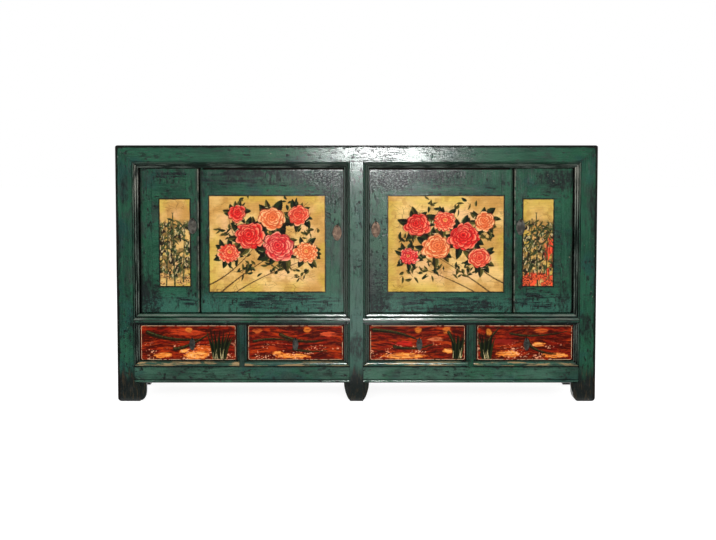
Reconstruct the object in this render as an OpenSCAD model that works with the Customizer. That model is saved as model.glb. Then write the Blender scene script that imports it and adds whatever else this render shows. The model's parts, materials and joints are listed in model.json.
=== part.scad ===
// Painted sideboard: four pivoting doors in two bays, one narrow and one wide door to a bay,
// above a row of four drawers. Flush frame with three-way mitred corners and reeded edges.
// Origin at the centre of the footprint on the floor, X to the viewer's right, Y to the back.

/* [Overall] */
// Width over the posts
body_w = 1600; // [1500:10:1760]
// Depth from the frame's face to the back
body_d = 420; // [380:10:480]
// Height of the top above the floor
body_h = 855; // [800:5:920]
// Radius of the worn top corners, seen from the front
corner_r = 8; // [4:1:12]
// Radius of the worn corners of the feet, seen from the front
foot_r = 13; // [4:1:18]
// Radius of the long front arrises
arris_r = 4; // [2:1:6]

/* [Frame] */
// Flat face of the outer posts and of the top rail, beside the reeds
face_w = 55; // [48:1:66]
// Flat face of the centre post
centre_face = 44; // [36:1:60]
// Depth of the posts and of the top rails
post_depth = 60; // [52:1:72]
// Width of the reeded band round every opening
reed_band = 20; // [15:1:24]
// How far the reeded band steps back to the doors
reed_drop = 12; // [9:1:14]
// How far a reed's crest stays behind the face
reed_sink = 0.5; // [0.2:0.1:1.5]
// Height of the rail between doors and drawers
mid_rail_h = 38; // [34:1:48]
// Height of its upper bead
upper_bead_h = 13; // [10:1:16]
// Height of its lower bead
lower_bead_h = 12; // [10:1:15]
// Depth of the rail between doors and drawers
mid_rail_depth = 46; // [42:1:56]
// Height of the bottom rail
bottom_rail_h = 75; // [64:1:90]
// Depth of the bottom rail
bottom_rail_depth = 32; // [28:1:44]
// Height of the bead along the bottom rail's top
apron_bead_h = 22; // [16:1:26]
// Height of the lip along the bottom rail's lower edge
apron_lip_h = 12; // [6:1:14]
// How far the flats of the rails lie behind their beads
rail_flat_sink = 4; // [2:1:5]
// Slant at the lower ends of the rails, where they lap over the posts' reeds
lap_cut = 8; // [4:1:12]
// Height of the feet under the bottom rail
foot_h = 61; // [48:1:80]

/* [Joinery] */
// Length of the blind tenons
tenon_l = 26; // [18:1:30]
// Thickness of the tenons
tenon_t = 14; // [10:1:16]
// Shoulder above and below a tenon
tenon_shoulder = 7; // [5:1:9]
// Clearance round tenons and tongues
fit_gap = 0.2; // [0.1:0.05:0.4]
// Thickness of the panels' tongues
tongue_t = 6; // [4:0.5:7]
// Reach of the panels' tongues into their grooves
tongue_l = 8; // [6:0.5:10]
// Joint line left round a flush panel
panel_gap = 0.5; // [0.3:0.1:1]
// Joint line between the rails and stiles of a door
joint_line = 0.1; // [0.05:0.05:0.2]

/* [Top, sides and back] */
// Height and width of the side and back top rails
end_rail = 60; // [52:1:70]
// Thickness of the flush top board
top_board_t = 16; // [13:1:20]
// Depth of the top board's tongue under its face
top_tongue_sink = 6; // [4:0.5:7]
// Width of the battens under the top board
batten_w = 40; // [30:1:50]
// Height of the battens under the top board
batten_h = 22; // [16:1:26]
// Thickness of the side and back boards
side_board_t = 11; // [9:1:14]
// How far the side and back boards lie behind the posts' faces
side_recess = 8; // [5:1:12]
// Width of the posts at the back
back_post_w = 60; // [50:1:72]
// Thickness of the side and back rails
side_rail_t = 26; // [22:1:32]
// Thickness of the bearers under the cupboard floor
bearer_t = 18; // [14:1:24]
// How far the side and back rails lie behind the posts' faces
side_rail_recess = 3; // [1:0.5:5]
// Height of the bearers under the cupboard floor
bearer_h = 34; // [26:1:38]
// Thickness of the cupboard floor
floor_t = 15; // [12:1:18]

/* [Feet] */
// Reach of the left foot's bracket along the bottom rail
left_bracket_w = 21; // [14:1:30]
// Reach of the right foot's bracket, which is worn down
right_bracket_w = 7; // [5:1:30]
// Reach of the brackets along the sides
side_bracket_w = 21; // [14:1:30]
// Height of a bracket's straight edge, above its curve in to the foot
bracket_edge_h = 23; // [10:1:34]
// The same on the more worn brackets of the centre foot and of the right foot
worn_bracket_edge_h = 3; // [1:1:14]
// Fullness of the brackets' curve, where 2 is an ellipse
bracket_fullness = 2.3; // [1.6:0.1:3]
// Fullness of the more worn brackets' curve
worn_bracket_fullness = 1.5; // [1.2:0.1:2.4]
// Thickness of the foot brackets
bracket_t = 16; // [10:1:20]
// How far the foot brackets lie behind the face
bracket_recess = 6; // [3:1:9]
// Gap between a bracket's lower end and the floor
bracket_lift = 2; // [1:1:6]
// Width worn away from the inner corner of the right foot
worn_foot_w = 18; // [8:1:24]
// Height worn away from that corner
worn_foot_h = 30; // [20:1:32]

/* [Doors] */
// Width of the narrow doors
narrow_w = 198; // [170:1:230]
// Thickness of the doors
door_t = 20; // [18:1:24]
// Gap beside the doors
door_gap = 1.5; // [1:0.1:2.5]
// Gap under the doors
door_foot_gap = 3; // [1:0.5:4]
// Gap above the narrow doors
narrow_head_gap = 2.5; // [1:0.5:5]
// Gap above the wide doors, which have dropped
wide_head_gap = 6; // [2:0.5:8]
// Radius of the corners at a door's free edge
door_corner_r = 4; // [2:0.5:8]
// Width of the door stiles
stile_w = 42; // [38:1:48]
// Height of the door rails
door_rail_h = 50; // [40:1:62]
// Depth of the panel's tongue behind the door's face
door_tongue_sink = 7; // [6:0.5:8]
// Radius of the wooden pivot pins
pin_r = 7; // [5:0.5:8]
// Reach of the pivot pins into their sockets
pin_l = 11; // [8:0.5:14]
// Gap between the end of a pin and its socket's end
pin_end_gap = 0.3; // [0.1:0.1:1]
// Radial clearance of the pins in their sockets
pin_gap = 0.08; // [0.02:0.01:0.1]
// Height and depth of the strip that the doors close against
stop_size = 12; // [8:1:16]
// Gap between a closed door and that strip
stop_gap = 0.4; // [0.2:0.1:1]

/* [Pictures] */
// Thickness of the picture grounds on the doors
picture_t = 0.8; // [0.4:0.1:1.2]
// Width of the pictures on the narrow doors
narrow_picture_w = 102; // [90:1:122]
// Distance from a narrow picture to the door's free edge
narrow_picture_edge = 29; // [25:1:34]
// Bare height above the narrow pictures
narrow_picture_top = 101; // [80:0.5:120]
// Bare height below the narrow pictures
narrow_picture_foot = 87.5; // [70:0.5:110]
// Distance from a wide picture to the door's hinge edge
wide_picture_hinge = 33; // [22:1:40]
// Distance from a wide picture to the door's free edge
wide_picture_edge = 61; // [50:1:80]
// Bare height above the wide pictures
wide_picture_top = 86.5; // [70:0.5:110]
// Bare height below the wide pictures
wide_picture_foot = 68.5; // [55:0.5:95]

/* [Drawers] */
// Height of the drawer openings
drawer_open_h = 121; // [105:1:140]
// Width of the upright between two drawers
muntin_w = 34; // [28:1:44]
// Radius of the beads on that upright
muntin_bead_r = 4; // [3:0.5:5]
// Gap round the drawer fronts
drawer_gap = 1.5; // [1:0.1:2.5]
// How far the drawer fronts lie behind the frame's face
drawer_recess = 6; // [4:1:9]
// Thickness of the drawer fronts
drawer_front_t = 18; // [16:1:22]
// Height of the raised field on a drawer front
field_t = 5; // [3:0.5:7]
// Margin beside the raised field
field_side = 3; // [2:0.5:8]
// Margin above and below the raised field
field_edge = 1.5; // [1:0.5:4]
// Radius of the raised field's corners
field_r = 6; // [3:1:10]
// Thickness of the drawer sides and backs
drawer_side_t = 12; // [10:1:15]
// Depth of the drawers behind their fronts
drawer_box_l = 330; // [280:5:335]
// Thickness of the drawer bottoms
drawer_bottom_t = 8; // [6:1:10]
// Height of the sides above the drawer's lower edge
drawer_side_top = 104; // [90:1:104]
// Height of the sides' lower edge above the front's lower edge
drawer_side_lift = 6; // [4:1:10]
// Height of the bottom's groove above the sides' lower edge
drawer_groove_lift = 5; // [4:1:8]
// Depth of the drawer joints and grooves
drawer_joint = 6; // [4:1:7]
// Gap between a drawer and its runner or guide
run_gap = 0.3; // [0.2:0.1:0.8]
// Height of the runners
runner_h = 26; // [22:1:34]
// Bearing of a runner under a drawer side
runner_bearing = 14; // [12:1:20]
// Height of the guides between the drawers
guide_h = 30; // [20:1:45]
// Thickness of the outer guides
guide_t = 18; // [12:1:24]

/* [Pulls] */
// Width of the door pulls
door_pull_w = 30; // [22:1:32]
// Height of the door pulls
door_pull_h = 52; // [44:1:60]
// Width of the drawer pulls
drawer_pull_w = 20; // [16:1:26]
// Height of the drawer pulls
drawer_pull_h = 42; // [36:1:50]
// Thickness of the pulls
pull_t = 2; // [1.2:0.1:2.2]
// Distance from a pull's pin to the door's free edge
pull_edge = 21; // [19:1:22]
// Distance from the left narrow door's pull pin to the door's top
left_narrow_pull_drop = 167; // [150:0.5:230]
// The same on the left wide door
left_wide_pull_drop = 185.5; // [150:0.5:230]
// The same on the right wide door
right_wide_pull_drop = 174.5; // [150:0.5:230]
// The same on the right narrow door
right_narrow_pull_drop = 171; // [150:0.5:230]
// Height of a drawer pull's pin above the drawer's middle
drawer_pull_rise = 14; // [6:1:16]
// Shift of the first drawer's pull to the right of the drawer's middle
pull_shift_1 = 13; // [-20:1:20]
// The same on the second drawer
pull_shift_2 = 0; // [-20:1:20]
// The same on the third drawer
pull_shift_3 = 6; // [-20:1:20]
// The same on the fourth drawer
pull_shift_4 = 6; // [-20:1:20]
// Radius of the ring that a pull hangs on, to the middle of its wire
ring_r = 4; // [3.8:0.1:5]
// Radius of the ring's wire
wire_r = 1.2; // [0.9:0.1:1.3]
// Gap between the ring and the bridge of the pull
bridge_gap = 0.4; // [0.3:0.1:0.6]
// Radius of the shank that holds the ring
shank_r = 2.2; // [1.8:0.1:2.4]
// Gap between the shank and its hole
shank_gap = 0.3; // [0.1:0.1:0.5]
// Length of the shank's clenched tips behind the board
tip_l = 14; // [10:1:18]

/* [Hidden] */

// Colours as the photograph shows them
teal = [0.16, 0.36, 0.30];
dark_teal = [0.12, 0.24, 0.21];
black_wax = [0.07, 0.08, 0.07];
gold_ground = [0.83, 0.70, 0.38];
drawer_red = [0.62, 0.18, 0.08];
old_wood = [0.38, 0.27, 0.18];
copper = [0.45, 0.30, 0.24];
iron = [0.24, 0.25, 0.25];

// Overlap of a cutting solid past the face that it cuts
past = 1;
// Facets of a modelled quarter round
quarter_steps = 6;
round_fn = 48;

front_y = -body_d / 2;
back_y = body_d / 2;
half_w = body_w / 2;
post_w = face_w + reed_band;
centre_half = centre_face / 2 + reed_band;
bay_w = half_w - post_w - centre_half;
bay_in = centre_half;
bay_out = half_w - post_w;

door_head_z = body_h - post_w;
drawer_sill_z = foot_h + bottom_rail_h;
drawer_head_z = drawer_sill_z + drawer_open_h;
door_sill_z = drawer_head_z + mid_rail_h;
door_z = door_sill_z + door_foot_gap;
wide_w = bay_w - narrow_w - 3 * door_gap;
pivot_r = door_t / 2;
pivot_y = front_y + reed_drop + pivot_r;
narrow_pivot_x = bay_out - door_gap - pivot_r;
wide_pivot_x = narrow_pivot_x - narrow_w - door_gap;

drawer_w = (bay_w - muntin_w - 4 * drawer_gap) / 2;
drawer_h = drawer_open_h - 2 * drawer_gap;
drawer_z = drawer_sill_z + drawer_gap;
drawer_y = front_y + drawer_recess;
inner_drawer_x = bay_in + drawer_gap + drawer_w / 2;
outer_drawer_x = bay_out - drawer_gap - drawer_w / 2;
muntin_x = (inner_drawer_x + outer_drawer_x) / 2;
side_half = drawer_w / 2 - drawer_gap;

reed_r = reed_band / 6;
reed_base = reed_r + reed_sink;
bridge_r = ring_r - wire_r - bridge_gap;
bridge_half = sqrt(pow(bridge_r, 2) - pow(pull_t / 2, 2));
pull_hole_r = bridge_half;
ring_out = ring_r + wire_r - bridge_gap;
groove_t = tongue_t + 2 * fit_gap;
groove_l = tongue_l + panel_gap;
top_board_groove_z = body_h - top_tongue_sink - tongue_t - fit_gap;

// Width, height and head gap of a door
function leaf_w(wide) = wide ? wide_w : narrow_w;
function head_gap(wide) = wide ? wide_head_gap : narrow_head_gap;
function leaf_h(wide) = door_head_z - door_z - head_gap(wide);

// Points of a half round from one end of a chord to the other, bulging to the right of the path
function half_round(start, end, steps = 2 * quarter_steps) = let(
    mid = (start + end) / 2,
    arm = (start - end) / 2,
    out = [-arm[1], arm[0]]
) [for (i = [0:steps]) mid + arm * cos(180 * i / steps) + out * sin(180 * i / steps)];

// Points of a quarter round about a centre
function quarter(centre, r, from) =
    [for (i = [0:quarter_steps]) let(a = from + 90 * i / quarter_steps) centre + r * [cos(a), sin(a)]];

// The reeded band's outline: first number across the band, second number back from the face
function reed_outline() = [for (i = [0:2]) let(depth = reed_base + i * (reed_drop - reed_base) / 2)
    each half_round([2 * i * reed_r, depth], [2 * (i + 1) * reed_r, depth], quarter_steps)];

// A module's right-hand shape, also used for the left when side is -1
module on_side(side) {
    mirror([side < 0 ? 1 : 0, 0, 0]) children();
}

// Extrudes an outline drawn as [x, z] between two depths
module front_extrude(y0, y1) {
    translate([0, y1, 0]) rotate([90, 0, 0]) linear_extrude(y1 - y0) children();
}

// Extrudes an outline drawn as [y, z] between two places along X
module side_extrude(x0, x1) {
    translate([x0, 0, 0]) rotate([90, 0, 90]) linear_extrude(x1 - x0) children();
}

// A box from its lowest and highest corners
module block(low, high) {
    translate(low) cube(high - low);
}

// The whole body's outline from the front, with worn corners
module body_outline() {
    front_extrude(front_y - past, back_y + past) polygon(concat(
        quarter([half_w - corner_r, body_h - corner_r], corner_r, 0),
        quarter([corner_r - half_w, body_h - corner_r], corner_r, 90),
        quarter([foot_r - half_w, foot_r], foot_r, 180),
        quarter([half_w - foot_r, foot_r], foot_r, 270)));
}

// What the reeds leave away beside a face edge, drawn as [across the band, back from the face]
module reed_waste() {
    polygon(concat([[0, -past]], reed_outline(), [[reed_band + past, reed_drop], [reed_band + past, -past]]));
}

// Waste of the top corner's mitre planes. The corner is the right one; back is 1 at the back.
// Each outline is drawn in distances from the outer side, from the front or back face, and from the top.
mitre = max(post_w, post_depth, end_rail, back_post_w) + past;
module corner_planes(cut, back) {
    along_x = [[-past, -past], [-past, mitre], [mitre, mitre]];
    along_y = [[-past, -past], [mitre, -past], [mitre, mitre]];
    face_y = back ? back_y : front_y;
    inward = back ? -1 : 1;
    y_low = back ? back_y - mitre : front_y - past;
    y_high = back ? back_y + past : front_y + mitre;
    // side against top, seen from the front
    if (cut == "rail" || cut == "post")
        front_extrude(y_low, y_high)
            polygon([for (p = cut == "rail" ? along_x : along_y) [half_w - p[0], body_h - p[1]]]);
    // side against front, seen from above
    if (cut == "rail" || cut == "end")
        translate([0, 0, body_h - mitre]) linear_extrude(mitre + past)
            polygon([for (p = cut == "rail" ? along_x : along_y) [half_w - p[0], face_y + inward * p[1]]]);
    // front against top, seen from the side
    if (cut == "post" || cut == "end")
        side_extrude(half_w - mitre, half_w + past)
            polygon([for (p = cut == "post" ? along_y : along_x) [face_y + inward * p[0], body_h - p[1]]]);
}

// The tenon of a rail that runs along X, standing out from x towards side, and grown for its mortise
module tenon_x(x, side, y, z, h, grow = 0) {
    ends = [x - side * past, x + side * (tenon_l + grow)];
    half = [tenon_t / 2 + grow, h / 2 - tenon_shoulder + grow];
    block([min(ends), y - half[0], z - half[1]], [max(ends), y + half[0], z + half[1]]);
}

// The same for a rail that runs along Y. Its tenons are short, so that they miss those along X.
end_tenon_l = min(tenon_l, post_depth / 2 - tenon_t / 2 - 2);
module tenon_y(y, side, x, z, h, grow = 0) {
    ends = [y - side * past, y + side * (end_tenon_l + grow)];
    half = [tenon_t / 2 + grow, h / 2 - tenon_shoulder + grow];
    block([x - half[0], min(ends), z - half[1]], [x + half[0], max(ends), z + half[1]]);
}

// The same upwards, for a post under a rail
module tenon_z(x, y, z, w, grow = 0) {
    block([x - w / 2 - grow, y - tenon_t / 2 - grow, z - past],
        [x + w / 2 + grow, y + tenon_t / 2 + grow, z + tenon_l + grow]);
}

// Middle heights and middle planes of the rails
mid_rail_z = door_sill_z - mid_rail_h / 2;
bottom_rail_z = foot_h + bottom_rail_h / 2;
mid_tenon_y = front_y + (reed_drop + mid_rail_depth) / 2;
bottom_tenon_y = front_y + (reed_drop + bottom_rail_depth) / 2;
bearer_top_z = door_sill_z - floor_t;
side_rail_x = half_w - side_rail_recess - side_rail_t / 2;
back_rail_y = back_y - side_rail_recess - side_rail_t / 2;
side_board_x = half_w - side_recess - side_board_t;
back_board_y = back_y - side_recess - side_board_t;
centre_tenon_w = centre_face - 2 * tenon_shoulder;
centre_back_half = centre_face / 2;
// How far a board's tongue lies behind the board's outer face
board_tongue_sink = (side_board_t - tongue_t) / 2;

// The groove in a post's side for the side boards and, along X, for the back boards
module side_board_groove(y, side) {
    x = half_w - side_recess - board_tongue_sink;
    block([x - tongue_t - fit_gap, min(y - side * past, y + side * groove_l), foot_h + bottom_rail_h],
        [x + fit_gap, max(y - side * past, y + side * groove_l), body_h - end_rail + past]);
}

module back_board_groove(x, side) {
    y = back_y - side_recess - board_tongue_sink;
    block([min(x - side * past, x + side * groove_l), y - tongue_t - fit_gap, foot_h + bottom_rail_h],
        [max(x - side * past, x + side * groove_l), y + fit_gap, body_h - end_rail + past]);
}

// Front outline of a rail's lap over a post's reeds: mitred to them at the top and slanted at its foot.
// The edge is the opening's, and side points from it to the post's flat.
module lap(edge, side, z, h) {
    far = edge + side * reed_band;
    front_extrude(front_y - past, front_y + reed_drop) polygon([[edge - side * past, z + h], [edge, z + h],
        [far, z + h - reed_band], [far, z + lap_cut], [far - side * lap_cut, z], [edge - side * past, z]]);
}

module laps(edge, side) {
    lap(edge, side, foot_h, bottom_rail_h);
    lap(edge, side, door_sill_z - mid_rail_h, mid_rail_h);
}

// Outer front post, with its reeds between the rails and pockets where the rails lap over them
module front_post(side) {
    color(teal) on_side(side) difference() {
        intersection() {
            linear_extrude(body_h) polygon(concat(
                quarter([half_w - arris_r, front_y + arris_r], arris_r, 270),
                [[half_w, front_y + post_depth], [bay_out, front_y + post_depth], [bay_out, front_y]]));
            body_outline();
        }
        translate([0, 0, foot_h]) linear_extrude(body_h)
            translate([half_w - face_w, front_y]) mirror([1, 0]) reed_waste();
        laps(bay_out, 1);
        corner_planes("post", 0);
        tenon_x(bay_out, 1, mid_tenon_y, mid_rail_z, mid_rail_h, fit_gap);
        tenon_x(bay_out, 1, bottom_tenon_y, bottom_rail_z, bottom_rail_h, fit_gap);
        tenon_y(front_y + post_depth, -1, side_rail_x, bottom_rail_z, bottom_rail_h, fit_gap);
        side_board_groove(front_y + post_depth, -1);
        if (side > 0) foot_wear();
    }
}

// What is worn away from the right foot's inner corner
module foot_wear() {
    front_extrude(front_y - past, front_y + post_depth + past) translate([bay_out, 0]) polygon(concat(
        [[-past, worn_foot_h], [-past, -past], [worn_foot_w, -past]],
        [for (i = [0:2 * quarter_steps]) let(a = 90 * i / (2 * quarter_steps))
            [worn_foot_w * (1 - sin(a)), worn_foot_h * (1 - cos(a))]]));
}

// Centre front post: reeds on both edges, mitred into the top rail, and a slimmer foot
module centre_post() {
    color(teal) difference() {
        union() {
            front_extrude(front_y, front_y + post_depth) polygon(concat(
                [[-centre_face / 2, 0], [centre_face / 2, 0], [centre_face / 2, foot_h]],
                [[centre_half, foot_h], [centre_half, door_head_z], [centre_face / 2, door_head_z + reed_band]],
                [[-centre_face / 2, door_head_z + reed_band], [-centre_half, door_head_z]],
                [[-centre_half, foot_h]],
                [[-centre_face / 2, foot_h]]));
            tenon_z(0, front_y + post_depth / 2, door_head_z + reed_band, centre_tenon_w);
        }
        for (side = [-1, 1]) on_side(side) {
            translate([0, 0, foot_h - past]) linear_extrude(body_h)
                translate([centre_face / 2, front_y]) reed_waste();
            laps(centre_half, -1);
            tenon_x(centre_half, -1, mid_tenon_y, mid_rail_z, mid_rail_h, fit_gap);
            tenon_x(centre_half, -1, bottom_tenon_y, bottom_rail_z, bottom_rail_h, fit_gap);
        }
    }
}

// One outer back post and the centre one
module back_post() {
    difference() {
        intersection() {
            block([half_w - back_post_w, back_y - post_depth, 0], [half_w, back_y, body_h]);
            body_outline();
        }
        corner_planes("post", 1);
        tenon_y(back_y - post_depth, 1, side_rail_x, bottom_rail_z, bottom_rail_h, fit_gap);
        tenon_x(half_w - back_post_w, 1, back_rail_y, bottom_rail_z, bottom_rail_h, fit_gap);
        side_board_groove(back_y - post_depth, 1);
        back_board_groove(half_w - back_post_w, 1);
    }
}

module back_centre_post() {
    top_z = body_h - end_rail;
    difference() {
        union() {
            block([-centre_back_half, back_y - post_depth, 0], [centre_back_half, back_y, top_z]);
            tenon_z(0, back_y - post_depth / 2, top_z, centre_tenon_w);
        }
        for (side = [-1, 1]) on_side(side) {
            back_centre_tenon(fit_gap);
            back_board_groove(centre_back_half, -1);
        }
    }
}

// Shorter tenon of a back rail into the slimmer centre post
back_tenon_l = min(tenon_l, centre_back_half - 4);
module back_centre_tenon(grow = 0) {
    half_t = tenon_t / 2 + grow;
    shoulder = tenon_shoulder - grow;
    block([centre_back_half - back_tenon_l - grow, back_rail_y - half_t, foot_h + shoulder],
        [centre_back_half + past, back_rail_y + half_t, drawer_sill_z - shoulder]);
}

module back_posts() {
    color(dark_teal) {
        for (side = [-1, 1]) on_side(side) back_post();
        back_centre_post();
    }
}

// Groove for the top board along a rail's inner face
module top_groove_x(y, side) {
    block([-half_w, min(y - side * past, y + side * groove_l), top_board_groove_z],
        [half_w, max(y - side * past, y + side * groove_l), body_h - top_tongue_sink + fit_gap]);
}

module top_groove_y() {
    x = half_w - end_rail;
    block([x - past, front_y + post_depth - groove_l, top_board_groove_z],
        [x + groove_l, back_y - post_depth + groove_l, body_h - top_tongue_sink + fit_gap]);
}

// Front top rail: its lower edge carries the reeds, and the centre post is mitred into it
module top_rail_front() {
    color(teal) difference() {
        intersection() {
            side_extrude(-half_w, half_w) polygon(concat(
                [[front_y, door_head_z], [front_y + post_depth, door_head_z], [front_y + post_depth, body_h]],
                quarter([front_y + arris_r, body_h - arris_r], arris_r, 90)));
            body_outline();
        }
        side_extrude(-half_w, half_w) translate([front_y, body_h - face_w]) rotate(-90) reed_waste();
        front_extrude(front_y - past, front_y + post_depth + past) polygon([
            [-centre_face / 2, door_head_z + reed_band], [centre_face / 2, door_head_z + reed_band],
            [centre_half, door_head_z], [centre_half, door_head_z - past],
            [-centre_half, door_head_z - past], [-centre_half, door_head_z]]);
        for (side = [-1, 1]) on_side(side) {
            corner_planes("rail", 0);
            for (x = [narrow_pivot_x, wide_pivot_x])
                translate([x, pivot_y, door_head_z - past])
                    cylinder(r = pin_r + pin_gap, h = past + pin_l + pin_end_gap, $fn = round_fn);
        }
        tenon_z(0, front_y + post_depth / 2, door_head_z + reed_band, centre_tenon_w, fit_gap);
        top_groove_x(front_y + post_depth, -1);
    }
}

module top_rail_back() {
    color(dark_teal) difference() {
        intersection() {
            block([-half_w, back_y - post_depth, body_h - end_rail], [half_w, back_y, body_h]);
            body_outline();
        }
        for (side = [-1, 1]) on_side(side) corner_planes("rail", 1);
        tenon_z(0, back_y - post_depth / 2, body_h - end_rail, centre_tenon_w, fit_gap);
        top_groove_x(back_y - post_depth, 1);
        // Groove for the back boards' upper tongues
        groove_y = back_y - side_recess - board_tongue_sink;
        block([back_post_w - half_w, groove_y - tongue_t - fit_gap, body_h - end_rail - past],
            [half_w - back_post_w, groove_y + fit_gap, body_h - end_rail + groove_l]);
    }
}

module top_rail_end(side) {
    color(teal) on_side(side) difference() {
        intersection() {
            block([half_w - end_rail, front_y, body_h - end_rail], [half_w, back_y, body_h]);
            body_outline();
        }
        corner_planes("end", 0);
        corner_planes("end", 1);
        top_groove_y();
        groove_x = half_w - side_recess - board_tongue_sink;
        block([groove_x - tongue_t - fit_gap, front_y + post_depth, body_h - end_rail - past],
            [groove_x + fit_gap, back_y - post_depth, body_h - end_rail + groove_l]);
    }
}

// Flush top board with a tongue all round
module top_board() {
    x = half_w - end_rail - panel_gap;
    y = body_d / 2 - post_depth - panel_gap;
    reach = tongue_l;
    color(dark_teal) union() {
        block([-x, -y, body_h - top_board_t], [x, y, body_h]);
        block([-x - reach, -y - reach, body_h - top_tongue_sink - tongue_t],
            [x + reach, y + reach, body_h - top_tongue_sink]);
    }
}

// Battens across the underside of the top board, between the rails
module top_battens() {
    span = half_w - end_rail;
    color(old_wood) for (x = [-span / 2, 0, span / 2])
        block([x - batten_w / 2, front_y + post_depth, body_h - top_board_t - batten_h],
            [x + batten_w / 2, back_y - post_depth, body_h - top_board_t]);
}

// A front rail that laps over the reeds of both posts. The outline is drawn as [back from the face, height].
module lapped_rail(z, h, tenon_y_at) {
    intersection() {
        side_extrude(centre_face / 2, half_w - face_w) translate([front_y, z]) children();
        union() {
            lap(bay_in, -1, z, h);
            lap(bay_out, 1, z, h);
            block([bay_in, front_y, z], [bay_out, front_y + post_depth, z + h]);
        }
    }
    tenon_x(bay_in, -1, tenon_y_at, z + h / 2, h);
    tenon_x(bay_out, 1, tenon_y_at, z + h / 2, h);
}

// Rail between doors and drawers, with a double bead and sockets for the doors' lower pins
module mid_rail(side) {
    z = door_sill_z - mid_rail_h;
    lower_z = mid_rail_h - upper_bead_h;
    flat_z = lower_z - lower_bead_h;
    color(dark_teal) on_side(side) difference() {
        lapped_rail(z, mid_rail_h, mid_tenon_y) polygon(concat(
            [[mid_rail_depth, 0], [mid_rail_depth, mid_rail_h]],
            half_round([upper_bead_h / 2, mid_rail_h], [upper_bead_h / 2, lower_z]),
            half_round([lower_bead_h / 2 + 1, lower_z], [lower_bead_h / 2 + 1, flat_z]),
            [[rail_flat_sink + 1, flat_z], [rail_flat_sink + 1, 0]]));
        for (x = [narrow_pivot_x, wide_pivot_x])
            translate([x, pivot_y, door_sill_z - pin_l - pin_end_gap])
                cylinder(r = pin_r + pin_gap, h = pin_l + pin_end_gap + past, $fn = round_fn);
        muntin_tenons(fit_gap);
    }
}

// Bottom rail, with a bead along its top and a lip along its lower edge
module bottom_rail(side) {
    color(teal) on_side(side) difference() {
        lapped_rail(foot_h, bottom_rail_h, bottom_tenon_y) polygon(concat(
            [[bottom_rail_depth, 0], [bottom_rail_depth, bottom_rail_h]],
            half_round([apron_bead_h / 2, bottom_rail_h], [apron_bead_h / 2, bottom_rail_h - apron_bead_h]),
            [[rail_flat_sink, bottom_rail_h - apron_bead_h], [rail_flat_sink, apron_lip_h]],
            half_round([apron_lip_h / 2 + 1, apron_lip_h], [apron_lip_h / 2 + 1, 0])));
        muntin_tenons(fit_gap);
        block([muntin_x - muntin_flat, front_y - past, drawer_sill_z - apron_bead_h],
            [muntin_x + muntin_flat, front_y + apron_bead_h / 2, drawer_sill_z + past]);
    }
}

// Upright between two drawers: a bead down each edge, short tenons, and a flat that laps over the bottom bead
muntin_flat = muntin_w / 2 - 2 * muntin_bead_r;
muntin_tenon_l = 10;
muntin_tenon_shift = 4;
muntin_tenon_y = front_y + bottom_rail_depth / 2 + muntin_tenon_shift;
module muntin_tenons(grow = 0) {
    w = muntin_w / 2 - tenon_shoulder + grow;
    block([muntin_x - w, muntin_tenon_y - tenon_t / 2 - grow, drawer_sill_z - muntin_tenon_l - grow],
        [muntin_x + w, muntin_tenon_y + tenon_t / 2 + grow, drawer_head_z + muntin_tenon_l + grow]);
}

module muntin() {
    a = muntin_w / 2;
    translate([muntin_x, front_y, drawer_sill_z]) linear_extrude(drawer_open_h) polygon(concat(
        [[a, bottom_rail_depth], [-a, bottom_rail_depth]],
        half_round([-a, drawer_recess], [-muntin_flat, drawer_recess]),
        [[-muntin_flat, rail_flat_sink], [muntin_flat, rail_flat_sink]],
        half_round([muntin_flat, drawer_recess], [a, drawer_recess])));
    block([muntin_x - muntin_flat, front_y + rail_flat_sink, drawer_sill_z - apron_bead_h],
        [muntin_x + muntin_flat, front_y + apron_bead_h / 2, drawer_sill_z + past]);
    muntin_tenons();
}

module drawer_muntins() {
    color(teal) for (side = [-1, 1]) on_side(side) union() muntin();
}

// Flush-edged board for a side, with its tongues in the posts, the top rail and the bottom rail
module side_board(side) {
    low = front_y + post_depth + panel_gap;
    high = back_y - post_depth - panel_gap;
    x = side_board_x;
    t = board_tongue_sink;
    color(teal) on_side(side) union() {
        block([x, low, drawer_sill_z], [x + side_board_t, high, body_h - end_rail - panel_gap]);
        block([x + side_board_t - t - tongue_t, low - tongue_l, drawer_sill_z],
            [x + side_board_t - t, high + tongue_l, body_h - end_rail - panel_gap]);
        block([x + side_board_t - t - tongue_t, low, drawer_sill_z],
            [x + side_board_t - t, high, body_h - end_rail - panel_gap + tongue_l]);
    }
}

// Rails along each side: one at the bottom, and one behind the board that bears the cupboard floor
module side_rails() {
    low = front_y + post_depth;
    high = back_y - post_depth;
    color(teal) for (side = [-1, 1]) on_side(side) {
        union() {
            block([side_rail_x - side_rail_t / 2, low, foot_h],
                [side_rail_x + side_rail_t / 2, high, drawer_sill_z]);
            tenon_y(low, -1, side_rail_x, bottom_rail_z, bottom_rail_h);
            tenon_y(high, 1, side_rail_x, bottom_rail_z, bottom_rail_h);
        }
        block([side_board_x - bearer_t, low, bearer_top_z - bearer_h], [side_board_x, high, bearer_top_z]);
    }
}

// Boards of the back, one to a bay
module back_boards() {
    color(old_wood) for (side = [-1, 1]) on_side(side) {
        low = centre_back_half + panel_gap;
        high = half_w - back_post_w - panel_gap;
        y = back_board_y;
        t = board_tongue_sink;
        union() {
            block([low, y, drawer_sill_z], [high, y + side_board_t, body_h - end_rail - panel_gap]);
            block([low - tongue_l, y + side_board_t - t - tongue_t, drawer_sill_z],
                [high + tongue_l, y + side_board_t - t, body_h - end_rail - panel_gap]);
            block([low, y + side_board_t - t - tongue_t, drawer_sill_z],
                [high, y + side_board_t - t, body_h - end_rail - panel_gap + tongue_l]);
        }
    }
}

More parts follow.
